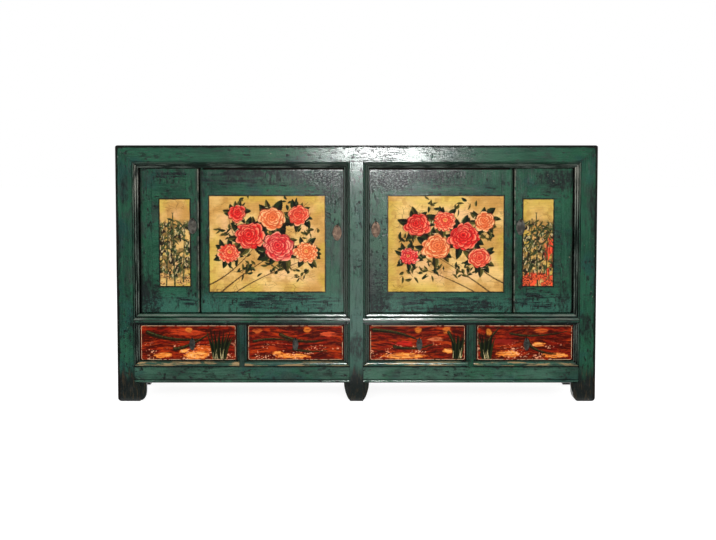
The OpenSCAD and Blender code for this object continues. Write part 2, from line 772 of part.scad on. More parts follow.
// Rails of the back, under the boards and under the cupboard floor
module back_rails() {
    color(old_wood) for (side = [-1, 1]) on_side(side) {
        union() {
            block([centre_back_half, back_rail_y - side_rail_t / 2, foot_h],
                [half_w - back_post_w, back_rail_y + side_rail_t / 2, drawer_sill_z]);
            tenon_x(half_w - back_post_w, 1, back_rail_y, bottom_rail_z, bottom_rail_h);
            back_centre_tenon();
        }
        block([centre_back_half, back_board_y - bearer_t, bearer_top_z - bearer_h],
            [half_w - back_post_w, back_board_y, bearer_top_z]);
    }
}

// Floor boards of the cupboard, notched round the posts
module cupboard_floor() {
    low_z = bearer_top_z - past;
    high_z = door_sill_z + past;
    front_notch = front_y + post_depth + panel_gap;
    back_notch = back_y - post_depth - panel_gap;
    color(old_wood) for (side = [-1, 1]) on_side(side) difference() {
        block([panel_gap / 2, front_y + mid_rail_depth, bearer_top_z],
            [side_board_x - panel_gap, back_board_y - panel_gap, door_sill_z]);
        block([bay_out - panel_gap, front_y, low_z], [half_w, front_notch, high_z]);
        block([-past, front_y, low_z], [bay_in + panel_gap, front_notch, high_z]);
        block([half_w - back_post_w - panel_gap, back_notch, low_z], [half_w, back_y, high_z]);
        block([-past, back_notch, low_z], [centre_back_half + panel_gap, back_y, high_z]);
    }
}

// A runner with its guide on top, from the front rail to the back rail. The guide runs between the posts.
runner_top_z = drawer_z + drawer_side_lift - run_gap;
module runner(low, high, guide_low, guide_high) {
    block([low, front_y + bottom_rail_depth, runner_top_z - runner_h],
        [high, back_rail_y - side_rail_t / 2, runner_top_z]);
    block([guide_low, front_y + post_depth, runner_top_z - past],
        [guide_high, back_y - post_depth, runner_top_z + guide_h]);
}

module drawer_runners() {
    inner_edge = inner_drawer_x - side_half;
    outer_edge = outer_drawer_x + side_half;
    rail_x = side_rail_x - side_rail_t / 2;
    color(old_wood) {
        difference() {
            runner(-inner_edge - runner_bearing, inner_edge + runner_bearing,
                run_gap - inner_edge, inner_edge - run_gap);
            block([-centre_half, front_y, 0], [centre_half, front_y + post_depth, body_h]);
            block([-centre_back_half, back_y - post_depth, 0], [centre_back_half, back_y, body_h]);
        }
        for (side = [-1, 1]) on_side(side) {
            union() runner(muntin_x - side_gap_half - runner_bearing, muntin_x + side_gap_half + runner_bearing,
                muntin_x - side_gap_half + run_gap, muntin_x + side_gap_half - run_gap);
            difference() {
                runner(outer_edge - runner_bearing, rail_x,
                    outer_edge + run_gap, outer_edge + run_gap + guide_t);
                block([bay_out, front_y, 0], [half_w, front_y + post_depth, body_h]);
                block([half_w - back_post_w, back_y - post_depth, 0], [half_w, back_y, body_h]);
            }
        }
    }
}

// Half of the distance between the sides of two neighbouring drawers
side_gap_half = muntin_w / 2 + 2 * drawer_gap;

// Bracket in the corner of a foot, drawn as [away from the post, height]: straight at the top, then a full
// curve in to the foot, which ends at the height low
module bracket(w, low, edge_h, fullness) {
    curve_h = foot_h - edge_h - low;
    polygon(concat([[0, foot_h], [w, foot_h]],
        [for (i = [0:2 * quarter_steps]) let(a = 90 * i / (2 * quarter_steps))
            [w * pow(cos(a), 2 / fullness), low + curve_h * (1 - pow(sin(a), 2 / fullness))]]));
}

module full_bracket(w) {
    bracket(w, bracket_lift, bracket_edge_h, bracket_fullness);
}

module worn_bracket(w, low) {
    bracket(w, low, worn_bracket_edge_h, worn_bracket_fullness);
}

module foot_brackets() {
    y0 = front_y + bracket_recess;
    y1 = y0 + bracket_t;
    x1 = half_w - bracket_recess;
    color(black_wax) {
        front_extrude(y0, y1) translate([-bay_out, 0]) full_bracket(left_bracket_w);
        front_extrude(y0, y1) translate([bay_out, 0]) mirror([1, 0]) worn_bracket(right_bracket_w, worn_foot_h);
        for (side = [-1, 1]) on_side(side) {
            front_extrude(y0, y1) translate([centre_face / 2, 0]) worn_bracket(reed_band, bracket_lift);
            side_extrude(x1 - bracket_t, x1) {
                translate([front_y + post_depth, 0]) full_bracket(side_bracket_w);
                translate([back_y - post_depth, 0]) mirror([1, 0]) full_bracket(side_bracket_w);
            }
        }
    }
}

// Strips under the top rail that the doors close against
module door_stops() {
    y = front_y + reed_drop + door_t + stop_gap;
    color(dark_teal) for (side = [-1, 1]) on_side(side)
        block([bay_in, y, door_head_z - stop_size], [bay_out, y + stop_size, door_head_z]);
}

// A door frame drawn with its pivot axis at the origin and its free edge towards -X: two stiles and two rails
door_tenon_l = 24;
door_tenon_t = 7;
door_tenon_y = 1;
module door_frame(wide, pull_drop) {
    h = leaf_h(wide);
    free_x = pivot_r - leaf_w(wide);
    inner_high = pivot_r - stile_w;
    inner_low = free_x + stile_w;
    color(teal) {
        // Hinge stile with its rounded back edge and pins
        difference() {
            union() {
                linear_extrude(h) polygon(concat([[inner_high, -pivot_r]],
                    half_round([0, -pivot_r], [0, pivot_r]), [[inner_high, pivot_r]]));
                translate([0, 0, -door_foot_gap - pin_l])
                    cylinder(r = pin_r, h = pin_l + door_foot_gap + past, $fn = round_fn);
                translate([0, 0, h - past])
                    cylinder(r = pin_r, h = past + head_gap(wide) + pin_l, $fn = round_fn);
            }
            panel_groove(h, inner_high - past, inner_high + groove_l);
            door_tenons(h, inner_high - past, inner_high, fit_gap);
        }
        difference() {
            front_extrude(-pivot_r, pivot_r) polygon(concat(
                quarter([free_x + door_corner_r, h - door_corner_r], door_corner_r, 90),
                quarter([free_x + door_corner_r, door_corner_r], door_corner_r, 180),
                [[inner_low, 0], [inner_low, h]]));
            panel_groove(h, inner_low - groove_l, inner_low + past);
            door_tenons(h, inner_low, inner_low + past, fit_gap);
            translate([free_x + pull_edge, 0, h - pull_drop]) shank_hole(door_t);
        }
        // The rails are a joint line shorter than the space between the stiles
        difference() {
            union() {
                for (z = [0, h - door_rail_h])
                    block([inner_low + joint_line, -pivot_r, z],
                        [inner_high - joint_line, pivot_r, z + door_rail_h]);
                door_tenons(h, inner_low, inner_high);
            }
            panel_groove(h, free_x, pivot_r);
        }
    }
}

// Groove for the panel of a door of height h
module panel_groove(h, low, high) {
    y = -pivot_r + door_tongue_sink;
    block([low, y - fit_gap, door_rail_h - groove_l],
        [high, y + tongue_t + fit_gap, h - door_rail_h + groove_l]);
}

// The tenons of both rails of a door of height h, or grown for their mortises
module door_tenons(h, low, high, grow = 0) {
    tenon_h = door_rail_h - groove_l - 2 * tenon_shoulder;
    for (z = [tenon_shoulder, h - tenon_shoulder - tenon_h])
        block([low - door_tenon_l - grow, door_tenon_y - door_tenon_t / 2 - grow, z - grow],
            [high + door_tenon_l + grow, door_tenon_y + door_tenon_t / 2 + grow, z + tenon_h + grow]);
}

// Flush panel of a door, with a tongue all round
module door_panel(wide) {
    low = pivot_r - leaf_w(wide) + stile_w + panel_gap;
    high = pivot_r - stile_w - panel_gap;
    foot = door_rail_h + panel_gap;
    head = leaf_h(wide) - door_rail_h - panel_gap;
    y = -pivot_r + door_tongue_sink;
    color(teal) union() {
        block([low, -pivot_r, foot], [high, y + tongue_t, head]);
        block([low - tongue_l, y, foot - tongue_l], [high + tongue_l, y + tongue_t, head + tongue_l]);
    }
}

// Picture ground laid on a door's face
module picture(low, high, foot, head) {
    color(gold_ground) block([low, -pivot_r - picture_t, foot], [high, -pivot_r, head]);
}

module narrow_picture() {
    low = pivot_r - narrow_w + narrow_picture_edge;
    picture(low, low + narrow_picture_w, narrow_picture_foot, leaf_h(false) - narrow_picture_top);
}

module wide_picture() {
    picture(pivot_r - wide_w + wide_picture_edge, pivot_r - wide_picture_hinge,
        wide_picture_foot, leaf_h(true) - wide_picture_top);
}

// Hole for a ring's shank, from the face at y = -t / 2 through the board
module shank_hole(t) {
    rotate([90, 0, 0]) cylinder(r = shank_r + shank_gap, h = t + 2 * past, center = true, $fn = round_fn);
}

// Ring standing out from a board's face at y = 0, on a shank with clenched tips behind the board
module ring(board_t) {
    color(iron) union() {
        translate([0, -ring_out, 0]) rotate([0, 90, 0]) rotate_extrude($fn = round_fn)
            translate([ring_r, 0]) circle(r = wire_r, $fn = 24);
        translate([0, board_t + wire_r, 0]) rotate([90, 0, 0])
            cylinder(r = shank_r, h = board_t + wire_r + ring_out - ring_r, $fn = round_fn);
        block([-wire_r, board_t, -tip_l], [wire_r, board_t + wire_r, tip_l]);
    }
}

// Leaf-shaped pull that hangs on the ring by the bridge above its hole. The ring's centre is the origin.
function leaf_outline(w, h) = [for (i = [0:31]) let(a = 360 * i / 32)
    [w / 2 * sin(a) * (1 - 0.12 * abs(cos(a))), bridge_half - h / 2 + h / 2 * cos(a)]];

module pull(w, h, finish) {
    color(finish) rotate([90, 0, 0]) linear_extrude(pull_t, center = true) difference() {
        polygon(leaf_outline(w, h));
        translate([0, -bridge_half - pull_hole_r]) circle(r = pull_hole_r, $fn = round_fn);
    }
}

// Places the right-hand door of one kind, or its mirror image on the left
module at_door(side, wide) {
    on_side(side) translate([wide ? wide_pivot_x : narrow_pivot_x, pivot_y, door_z]) children();
}

// Places a ring, or the pull that hangs on it, at a height below the door's top
module at_door_pull(side, wide, drop) {
    at_door(side, wide)
        translate([pivot_r - leaf_w(wide) + pull_edge, -pivot_r, leaf_h(wide) - drop]) children();
}

module door_pull(side, wide, drop) {
    at_door_pull(side, wide, drop) translate([0, -ring_out, 0])
        pull(door_pull_w, door_pull_h, wide ? copper : iron);
}

// Drawer front with a raised field, housings for the sides and a groove for the bottom
module drawer_front(pull_shift) {
    a = drawer_w / 2;
    x = a - field_side - field_r;
    low = field_edge + field_r;
    high = drawer_h - field_edge - field_r;
    joint_y = drawer_front_t - drawer_joint - fit_gap;
    color(drawer_red) difference() {
        union() {
            block([-a, field_t, 0], [a, drawer_front_t, drawer_h]);
            front_extrude(0, field_t + past) polygon(concat(
                quarter([x, high], field_r, 0), quarter([-x, high], field_r, 90),
                quarter([-x, low], field_r, 180), quarter([x, low], field_r, 270)));
        }
        for (side = [-1, 1]) on_side(side)
            block([side_half - drawer_side_t - fit_gap, joint_y, drawer_side_lift - fit_gap],
                [side_half + fit_gap, drawer_front_t + past, drawer_side_top + fit_gap]);
        bottom_slot(fit_gap, side_half - drawer_side_t, [joint_y, drawer_front_t + past]);
        translate([pull_shift, drawer_front_t / 2, drawer_h / 2 + drawer_pull_rise]) shank_hole(drawer_front_t);
    }
}

drawer_bottom_z = drawer_side_lift + drawer_groove_lift;
module bottom_slot(grow, half, y) {
    block([-half - grow, y[0], drawer_bottom_z - grow],
        [half + grow, y[1], drawer_bottom_z + drawer_bottom_t + grow]);
}

// Sides, back and bottom of a drawer
module drawer_box() {
    back_at = drawer_front_t + drawer_box_l;
    inner = side_half - drawer_side_t;
    groove_z = drawer_bottom_z + drawer_bottom_t;
    back_y0 = back_at - 2 * drawer_side_t;
    color(old_wood) {
        for (side = [-1, 1]) on_side(side) difference() {
            block([inner, drawer_front_t - drawer_joint, drawer_side_lift],
                [side_half, back_at, drawer_side_top]);
            bottom_slot(fit_gap, inner + drawer_joint, [0, back_at + past]);
            block([inner - past, back_y0, groove_z],
                [inner + drawer_joint, back_y0 + drawer_side_t, drawer_side_top + past]);
        }
        block([fit_gap - inner - drawer_joint, back_y0 + fit_gap, groove_z + fit_gap],
            [inner + drawer_joint - fit_gap, back_y0 + drawer_side_t - fit_gap,
                drawer_side_top - drawer_groove_lift]);
        difference() {
            bottom_slot(0, inner + drawer_joint - fit_gap, [drawer_front_t - drawer_joint, back_at - fit_gap]);
            for (side = [-1, 1]) on_side(side)
                block([inner - fit_gap, 0, 0], [side_half + past, drawer_front_t + fit_gap, drawer_h]);
        }
    }
}

// Centre of each drawer along X, from the left, and the shift of its pull
drawer_xs = [-outer_drawer_x, -inner_drawer_x, inner_drawer_x, outer_drawer_x];
pull_shifts = [pull_shift_1, pull_shift_2, pull_shift_3, pull_shift_4];
module at_drawer(i) {
    translate([drawer_xs[i - 1], drawer_y, drawer_z]) children();
}

module at_drawer_pull(i) {
    at_drawer(i) translate([pull_shifts[i - 1], 0, drawer_h / 2 + drawer_pull_rise]) children();
}

front_post(-1);  // post_front_left
centre_post();  // post_front_centre
front_post(1);  // post_front_right
back_posts();
top_rail_front();
top_rail_back();
top_rail_end(-1);  // top_rail_left
top_rail_end(1);  // top_rail_right
top_board();
top_battens();
mid_rail(-1);  // mid_rail_left
mid_rail(1);  // mid_rail_right
bottom_rail(-1);  // bottom_rail_left
bottom_rail(1);  // bottom_rail_right
drawer_muntins();
side_board(-1);  // side_board_left
side_board(1);  // side_board_right
side_rails();
back_boards();
back_rails();
cupboard_floor();
drawer_runners();
foot_brackets();
door_stops();
at_door(-1, false) door_frame(false, left_narrow_pull_drop);  // door_left_narrow_frame
at_door(-1, false) door_panel(false);  // door_left_narrow_panel
at_door(-1, false) narrow_picture();  // door_left_narrow_picture
at_door_pull(-1, false, left_narrow_pull_drop) ring(door_t);  // door_left_narrow_ring
door_pull(-1, false, left_narrow_pull_drop);  // door_left_narrow_pull
at_door(-1, true) door_frame(true, left_wide_pull_drop);  // door_left_wide_frame
at_door(-1, true) door_panel(true);  // door_left_wide_panel
at_door(-1, true) wide_picture();  // door_left_wide_picture
at_door_pull(-1, true, left_wide_pull_drop) ring(door_t);  // door_left_wide_ring
door_pull(-1, true, left_wide_pull_drop);  // door_left_wide_pull
at_door(1, true) door_frame(true, right_wide_pull_drop);  // door_right_wide_frame
at_door(1, true) door_panel(true);  // door_right_wide_panel
at_door(1, true) wide_picture();  // door_right_wide_picture
at_door_pull(1, true, right_wide_pull_drop) ring(door_t);  // door_right_wide_ring
door_pull(1, true, right_wide_pull_drop);  // door_right_wide_pull
at_door(1, false) door_frame(false, right_narrow_pull_drop);  // door_right_narrow_frame
at_door(1, false) door_panel(false);  // door_right_narrow_panel
at_door(1, false) narrow_picture();  // door_right_narrow_picture
at_door_pull(1, false, right_narrow_pull_drop) ring(door_t);  // door_right_narrow_ring
door_pull(1, false, right_narrow_pull_drop);  // door_right_narrow_pull
for (i = [1:4]) {
    at_drawer(i) drawer_front(pull_shifts[i - 1]);
    at_drawer(i) drawer_box();
    at_drawer_pull(i) ring(drawer_front_t);
    at_drawer_pull(i) translate([0, -ring_out, 0]) pull(drawer_pull_w, drawer_pull_h, iron);
}
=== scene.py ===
"""The looks of the painted sideboard: lacquer, painted pictures and drawers, old metal, and the light."""

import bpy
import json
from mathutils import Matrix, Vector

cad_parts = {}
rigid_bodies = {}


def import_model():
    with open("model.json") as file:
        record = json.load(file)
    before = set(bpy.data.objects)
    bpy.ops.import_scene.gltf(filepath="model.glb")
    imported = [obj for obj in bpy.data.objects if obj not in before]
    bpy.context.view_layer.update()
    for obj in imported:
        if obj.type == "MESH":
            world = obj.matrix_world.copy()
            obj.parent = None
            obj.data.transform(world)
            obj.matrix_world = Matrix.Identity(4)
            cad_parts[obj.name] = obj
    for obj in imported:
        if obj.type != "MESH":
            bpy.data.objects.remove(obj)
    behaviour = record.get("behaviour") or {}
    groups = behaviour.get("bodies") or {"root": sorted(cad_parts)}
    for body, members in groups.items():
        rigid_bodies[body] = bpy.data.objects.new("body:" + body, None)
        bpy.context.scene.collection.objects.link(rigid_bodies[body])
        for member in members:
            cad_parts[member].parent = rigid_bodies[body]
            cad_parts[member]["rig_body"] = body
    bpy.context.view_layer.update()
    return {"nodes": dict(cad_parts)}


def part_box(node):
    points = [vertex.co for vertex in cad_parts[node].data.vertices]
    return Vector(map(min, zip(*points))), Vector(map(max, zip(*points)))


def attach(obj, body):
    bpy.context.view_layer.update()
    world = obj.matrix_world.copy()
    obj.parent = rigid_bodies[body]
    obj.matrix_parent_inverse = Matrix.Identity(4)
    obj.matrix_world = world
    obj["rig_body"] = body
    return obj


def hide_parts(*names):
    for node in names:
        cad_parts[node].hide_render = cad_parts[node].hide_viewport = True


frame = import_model()

from fnmatch import fnmatch
from functools import partialmethod
import json
import math

import bpy
import numpy as np
from mathutils import Vector

MM = 0.001

# Painted sheets: how deep their backs sink and the drawers' thickness, in metres; then, in mm, the drawers'
# corners, how far thin paint lies behind thick paint, and the fall and reach of a sheet's eased edge
SKIN_SINK = 0.00005
DRAWER_SKIN = 0.0003
DRAWER_CORNER = 6.0
PAINT_RELIEF = 0.12
DRAWER_EDGE = (0.35, 1.6)
PICTURE_EDGE = (0.10, 1.3)
# Worn arrises of the wood and the gap that joins its points, in metres, and the least angle of an edge
ARRIS = 0.0007
WELD = 0.000005
SHARP_EDGE = 38

# Stage: the room's light on the object, its dim side, and the radiance, slope and width of the band of glow
# there; how far off the eye's mirror image lies; and the floor's glow, greys and half its side, in metres
ROOM_LIGHT = 0.42
ROOM_DIM = 0.05
BAND_GLOW = 1.75
BAND_AT = 0.005
BAND_WIDTH = 0.0185
MIRRORED_EYE = 4.79
FLOOR_GLOW = 0.90
FLOOR_GREY = 0.35
FLOOR_BOUNCE = 0.30
FLOOR_REACH = 30.0
# Where the floor turns from dim to bright for mirrored rays, where its band fades, and the world's turn
FLOOR_TURN = (-0.32, -0.15)
FLOOR_FADE = (-0.5, -1.9)
WORLD_TURN = (0.10, 0.50)
# The flash: soft ovals one over the other, as width, height and radiance, then its place and its target
FLASH = ((0.71, 0.095, 72.0), (0.94, 0.15, 13.0), (1.06, 0.26, 3.2), (1.16, 0.38, 1.2))
FLASH_PLACE = (0.170, -5.35, 0.84)
FLASH_TARGET = (0.078, 0.0, 0.835)
# The camera: place in metres, tilt in degrees, sensor and lens in mm
EYE = (0.005, -5.21, 0.83)
TILT = 85.55
SENSOR = 36.0
LENS = 75.7

# Paint colours, 8-bit
RED = ((138, 8, 16), (234, 38, 36), (255, 120, 96))
CORAL = ((168, 30, 30), (238, 82, 58), (255, 178, 136))
PEACH = ((178, 62, 30), (240, 128, 76), (255, 208, 154))
ROSE = ((150, 14, 32), (238, 56, 58), (255, 152, 136))
LEAF = ((10, 16, 8), (40, 60, 28))
OLIVE = ((32, 31, 12), (98, 96, 42))
CREAM = (246, 226, 186)
INK = (22, 18, 12)
BARK = (48, 34, 18)
STEM = (18, 24, 10)
TEAL = ((19, 57, 42), (36, 87, 64))
DIM_TEAL = ((15, 42, 34), (30, 66, 53))
PALE_TEAL = ((36, 66, 53), (64, 102, 84))


# Noise and blending
def smooth(value, low, high):
    """0 below low, 1 above high, and a soft step between."""
    t = np.clip((value - low) / (high - low), 0, 1)
    return t * t * (3 - 2 * t)


def cell(ix, iy, seed):
    """A repeatable value from 0 to 1 for each cell of a grid."""
    h = ix.astype(np.int64) * 374761393 + iy.astype(np.int64) * 668265263 + seed * 974634777
    h = h & 0xFFFFFFFF
    h = ((h ^ (h >> 13)) * 1274126177) & 0xFFFFFFFF
    return ((h ^ (h >> 16)) & 0xFFFF) / 65535.0


def cloud(x, y, seed, octaves=3):
    """Smooth noise from 0 to 1, one cell to a unit."""
    total, weight, share = 0.0, 0.0, 1.0
    for k in range(octaves):
        ix, iy = np.floor(x), np.floor(y)
        u, v = x - ix, y - iy
        u, v = u * u * (3 - 2 * u), v * v * (3 - 2 * v)
        low = cell(ix, iy, seed + k) * (1 - u) + cell(ix + 1, iy, seed + k) * u
        high = cell(ix, iy + 1, seed + k) * (1 - u) + cell(ix + 1, iy + 1, seed + k) * u
        total = total + share * (low * (1 - v) + high * v)
        weight += share
        x, y, share = x * 2.03 + 17.1, y * 2.03 + 9.7, share / 2
    return total / weight


def dots(x, y, pitch, radius, seed):
    """Round dots, one at a random place in each cell of the pitch, and of random size."""
    ix, iy = np.floor(x / pitch), np.floor(y / pitch)
    px = (ix + 0.25 + 0.5 * cell(ix, iy, seed)) * pitch
    py = (iy + 0.25 + 0.5 * cell(ix, iy, seed + 1)) * pitch
    size = radius * (0.3 + 0.9 * cell(ix, iy, seed + 2))
    return smooth(size - np.hypot(x - px, y - py), -0.5, 0.5)


def blend(a, b, share):
    """The colour a turned towards b by a share at each point."""
    a = np.asarray(a, float)
    return a + (np.asarray(b, float) - a) * share[..., None]


# Painting
class Canvas:
    """A painted sheet: colour and thickness of paint at each point of a grid, in mm from its lower left."""

    def __init__(self, width, height, step):
        self.size = (width, height)
        nx, ny = round(width / step) + 1, round(height / step) + 1
        self.x, self.y = np.meshgrid(np.linspace(0, width, nx), np.linspace(0, height, ny))
        self.colour = np.zeros((ny, nx, 3))
        self.relief = np.full((ny, nx), 0.2)

    def window(self, x, y, reach):
        """The part of the sheet around a point."""
        part = Canvas.__new__(Canvas)
        part.size = self.size
        ny, nx = self.x.shape
        sx, sy = (nx - 1) / self.size[0], (ny - 1) / self.size[1]
        cols = slice(max(0, int((x - reach) * sx)), max(0, int((x + reach) * sx) + 2))
        rows = slice(max(0, int((y - reach) * sy)), max(0, int((y + reach) * sy) + 2))
        part.x, part.y = self.x[rows, cols], self.y[rows, cols]
        part.colour, part.relief = self.colour[rows, cols], self.relief[rows, cols]
        return part

    def lay(self, colour, cover, thick=0.0):
        """Lays a colour over the sheet, as far as cover says."""
        self.colour += (np.asarray(colour, float) - self.colour) * cover[..., None]
        if thick:
            self.relief += (thick - self.relief) * cover

    def edge(self):
        """The distance of each point from the sheet's edge."""
        w, h = self.size
        return np.minimum(np.minimum(self.x, w - self.x), np.minimum(self.y, h - self.y))

    def noise(self, across, up, seed, octaves):
        """Smooth noise with cells of a width and height in mm."""
        return cloud(self.x / across, self.y / up, seed, octaves)

    def patches(self, across, up, seed, octaves, low, high):
        """1 in patches of that noise, 0 between them."""
        return smooth(self.noise(across, up, seed, octaves), low, high)

    def border(self, seed, cover):
        """A thin, uneven line of ink along the edge."""
        self.lay(INK, cover * smooth(2.2 - self.edge() + 1.6 * (self.noise(12, 12, seed, 2) - 0.5), 0, 1.4))


def bloom(sheet, x, y, radius, tones, petals, rings, flat, seed, turn):
    """A blossom of rings of petals, turned a little aside. tones are its shade, body and light."""
    w = sheet.window(x, y, radius * 1.35)
    deep, body, light = tones
    fringed = petals > 10
    bend = cloud(w.x / (0.55 * radius) + seed, w.y / (0.55 * radius), seed, 2) - 0.5
    fine = w.noise(4, 4, seed + 3, 2) - 0.5
    for k in range(rings):
        share = 1 - k / rings
        cx, cy = x + 0.12 * radius * (1 - share) * math.cos(3 * turn), y + 0.14 * radius * (1 - share)
        r = np.hypot(w.x - cx, (w.y - cy) / flat) * (1 + 0.30 * bend + 0.08 * fine)
        th = np.arctan2((w.y - cy) / flat, w.x - cx) + 0.5 * bend + turn
        n = max(3, round(petals * (0.55 + 0.45 * share)))
        phase = th * n / 2 + seed + 2.4 * k
        own = cell(np.floor(phase / math.pi), phase * 0 + k, seed)
        s = np.abs(np.sin(phase))
        rim = radius * share ** 0.85 * ((0.64 + 0.36 * s ** 0.4) if fringed else (0.78 + 0.22 * s ** 0.5))
        rim = rim * (0.90 + 0.20 * own)
        shade = np.exp(-np.clip(r - rim, 0, None) / (0.06 * radius if k else 1.2))
        w.lay(deep if k else INK, (0.85 if k else 0.75) * shade)
        u = np.clip(r / rim, 0, 1)
        veins = cloud(th * (7 if fringed else 4) + k, r / 9, seed + 5, 2) - 0.5
        tone = 0.06 + 0.80 * u ** 1.7 + 0.40 * veins
        tone = np.clip(tone * (0.72 + 0.28 * s ** 0.4) * (0.82 + 0.36 * own), 0, 1)
        colour = blend(deep, body, np.clip(tone * 2.3, 0, 1))
        colour = blend(colour, light, smooth(tone, 0.58, 0.92))
        cover = smooth(rim - r, 0, 1.4)
        w.lay(colour, cover, 0.35 + 0.5 * share)
        if fringed:
            w.lay(deep, 0.7 * cover * smooth(s, 0.30, 0.05) * smooth(u, 0.25, 0.5))
        pale = smooth(u, 0.84, 0.92) * smooth(own + fine, 0.35, 0.6)
        w.lay(np.add(light, CREAM) / 2, 0.6 * cover * pale, 0.9)
    if fringed:
        w.lay((150, 60, 30), smooth(radius * 0.13 - r, 0, 2) * 0.7, 1.0)
        w.lay((250, 214, 120), dots(w.x, w.y, 3.2, 1.3, seed) * smooth(radius * 0.24 - r, 0, 3), 1.0)


def leaf(sheet, x, y, length, angle, width, tones, seed=1):
    """A pointed, toothed leaf that starts at x, y and runs out at an angle."""
    ca, sa = math.cos(angle), math.sin(angle)
    w = sheet.window(x + ca * length / 2, y + sa * length / 2, length * 0.72 + width)
    if not w.x.size:
        return
    dark, light = tones
    u = ((w.x - x) * ca + (w.y - y) * sa) / length
    v = (-(w.x - x) * sa + (w.y - y) * ca) / width
    along = np.clip(u, 0, 1)
    v = v - 0.075 * length / width * np.sin(np.pi * along)
    half = np.sin(np.pi * along ** 0.8) ** 0.8 * (0.5 - 0.05 * np.abs(np.sin(u * 24)))
    cover = smooth(half - np.abs(v), 0, 1.2 / width) * (u > 0) * (u < 1)
    side = smooth(v, -0.05, 0.12) * (0.4 + 0.6 * w.noise(5, 5, seed, 2))
    w.lay(blend(dark, light, side), cover, 0.4)
    rib = np.exp(-(v * width / 0.7) ** 2) * (u > 0.05) * (u < 0.9)
    w.lay(np.multiply(light, 1.3), rib * cover * 0.6, 0.5)
    if seed % 3 == 0:
        w.lay((206, 206, 150), 0.6 * cover * smooth(v, 0.16, 0.24) * smooth(half - v, 0.16, 0.08), 0.6)


def stroke(sheet, points, width, colour, tip=0.35, dry=0.0, seed=1):
    """A brush stroke from the first point to the last, bent towards the middle one, that thins to its end."""
    pts = np.asarray(points, float)
    t = np.linspace(0, 1, 15)[:, None]
    middle = pts[1] if len(pts) == 3 else (pts[0] + pts[-1]) / 2
    line = pts[0] * (1 - t) ** 2 + 2 * middle * t * (1 - t) + pts[-1] * t ** 2
    mid = (line.min(0) + line.max(0)) / 2
    w = sheet.window(mid[0], mid[1], np.abs(line - mid).max() + width * 2)
    if not w.x.size:
        return
    gap = np.full(w.x.shape, 1e9)
    for i in range(len(line) - 1):
        (ax, ay), (bx, by) = line[i], line[i + 1]
        long = max((bx - ax) ** 2 + (by - ay) ** 2, 1e-9)
        u = np.clip(((w.x - ax) * (bx - ax) + (w.y - ay) * (by - ay)) / long, 0, 1)
        half = width / 2 * (1 - (1 - tip) * ((i + u) / (len(line) - 1)) ** 1.5)
        gap = np.minimum(gap, np.hypot(w.x - ax - u * (bx - ax), w.y - ay - u * (by - ay)) - half)
    cover = smooth(-gap, -0.6, 0.9)
    w.lay(colour, cover * (1 - dry * w.patches(3, 1.4, seed, 2, 0.45, 0.6)), 0.6)


def gold_ground(sheet, seed):
    """A gilt ground, cloudy, peach in the middle and greenish at the edges, stained and brushed across."""
    edge = sheet.edge()
    sheet.colour[:] = blend((206, 152, 74), (242, 198, 116), sheet.patches(60, 50, seed, 4, 0.25, 0.75))
    peach = sheet.patches(90, 60, seed + 21, 3, 0.48, 0.70) * smooth(edge, 10, 60)
    sheet.lay((248, 194, 134), 0.7 * peach)
    green = 0.55 * smooth(56 - edge, 0, 56) * sheet.patches(70, 70, seed + 31, 2, 0.35, 0.6)
    sheet.lay((206, 178, 60), green)
    sheet.lay((184, 132, 60), 0.4 * sheet.patches(18, 22, seed + 11, 4, 0.56, 0.72))
    brush = sheet.noise(30, 2.4, seed + 3, 2)
    sheet.colour *= (0.93 + 0.12 * brush)[..., None] * (0.945, 1.01, 1.16)


def flower_picture(seed, stems, sprigs, blossoms):
    """Blossoms with their leaves on thin stems, on a gold ground."""
    s = Canvas(386.5, 321, 1.25)
    gold_ground(s, seed)
    rng = np.random.default_rng(seed)
    for *points, width in stems:
        stroke(s, np.reshape(points, (3, 2)), width, BARK, dry=0.5, seed=seed)
    for x, y, count in sprigs:
        for j in range(count * 3 // 2):
            px, py = x + rng.normal(0, 19), y + rng.normal(0, 13)
            tones = OLIVE if rng.random() < 0.5 else LEAF
            leaf(s, px, py, rng.uniform(13, 28), rng.uniform(0, 6.28), rng.uniform(6, 13), tones, j)
            twig = [(px, py), (px + rng.uniform(-9, 9), py + rng.uniform(-9, 9)),
                    (px + rng.uniform(-16, 16), py + rng.uniform(-14, 14))]
            if j % 3:
                stroke(s, twig, 1.8, BARK)
    for x, y, radius, *_ in blossoms:
        for j in range(12):
            a = 2 * math.pi * j / 12 + rng.uniform(-0.35, 0.35)
            length = radius * rng.uniform(0.75, 1.2)
            tones = LEAF if rng.random() < 0.8 else OLIVE
            start = (x + math.cos(a) * radius * 0.6, y + math.sin(a) * radius * 0.6)
            leaf(s, *start, length, a + rng.uniform(-0.5, 0.5), length * rng.uniform(0.45, 0.68), tones, j)
    for i, (x, y, radius, *form) in enumerate(blossoms):
        bloom(s, x, y, radius * 1.08, *form, seed * 7 + i, rng.uniform(0, 3))
        for j in range(5):
            a = rng.uniform(0, 6.28)
            near = np.array([x + math.cos(a) * radius * 1.05, y + math.sin(a) * radius * 0.95])
            turn = np.array([math.cos(a + 1.3), math.sin(a + 1.3)]) * rng.uniform(6, 15)
            stroke(s, [near, near + turn], 2.4, CREAM if j % 2 else (120, 128, 70), 0.3, 0.5, j)
    s.border(seed, 0.7)
    s.colour *= (0.975, 0.92, 0.84)
    return s


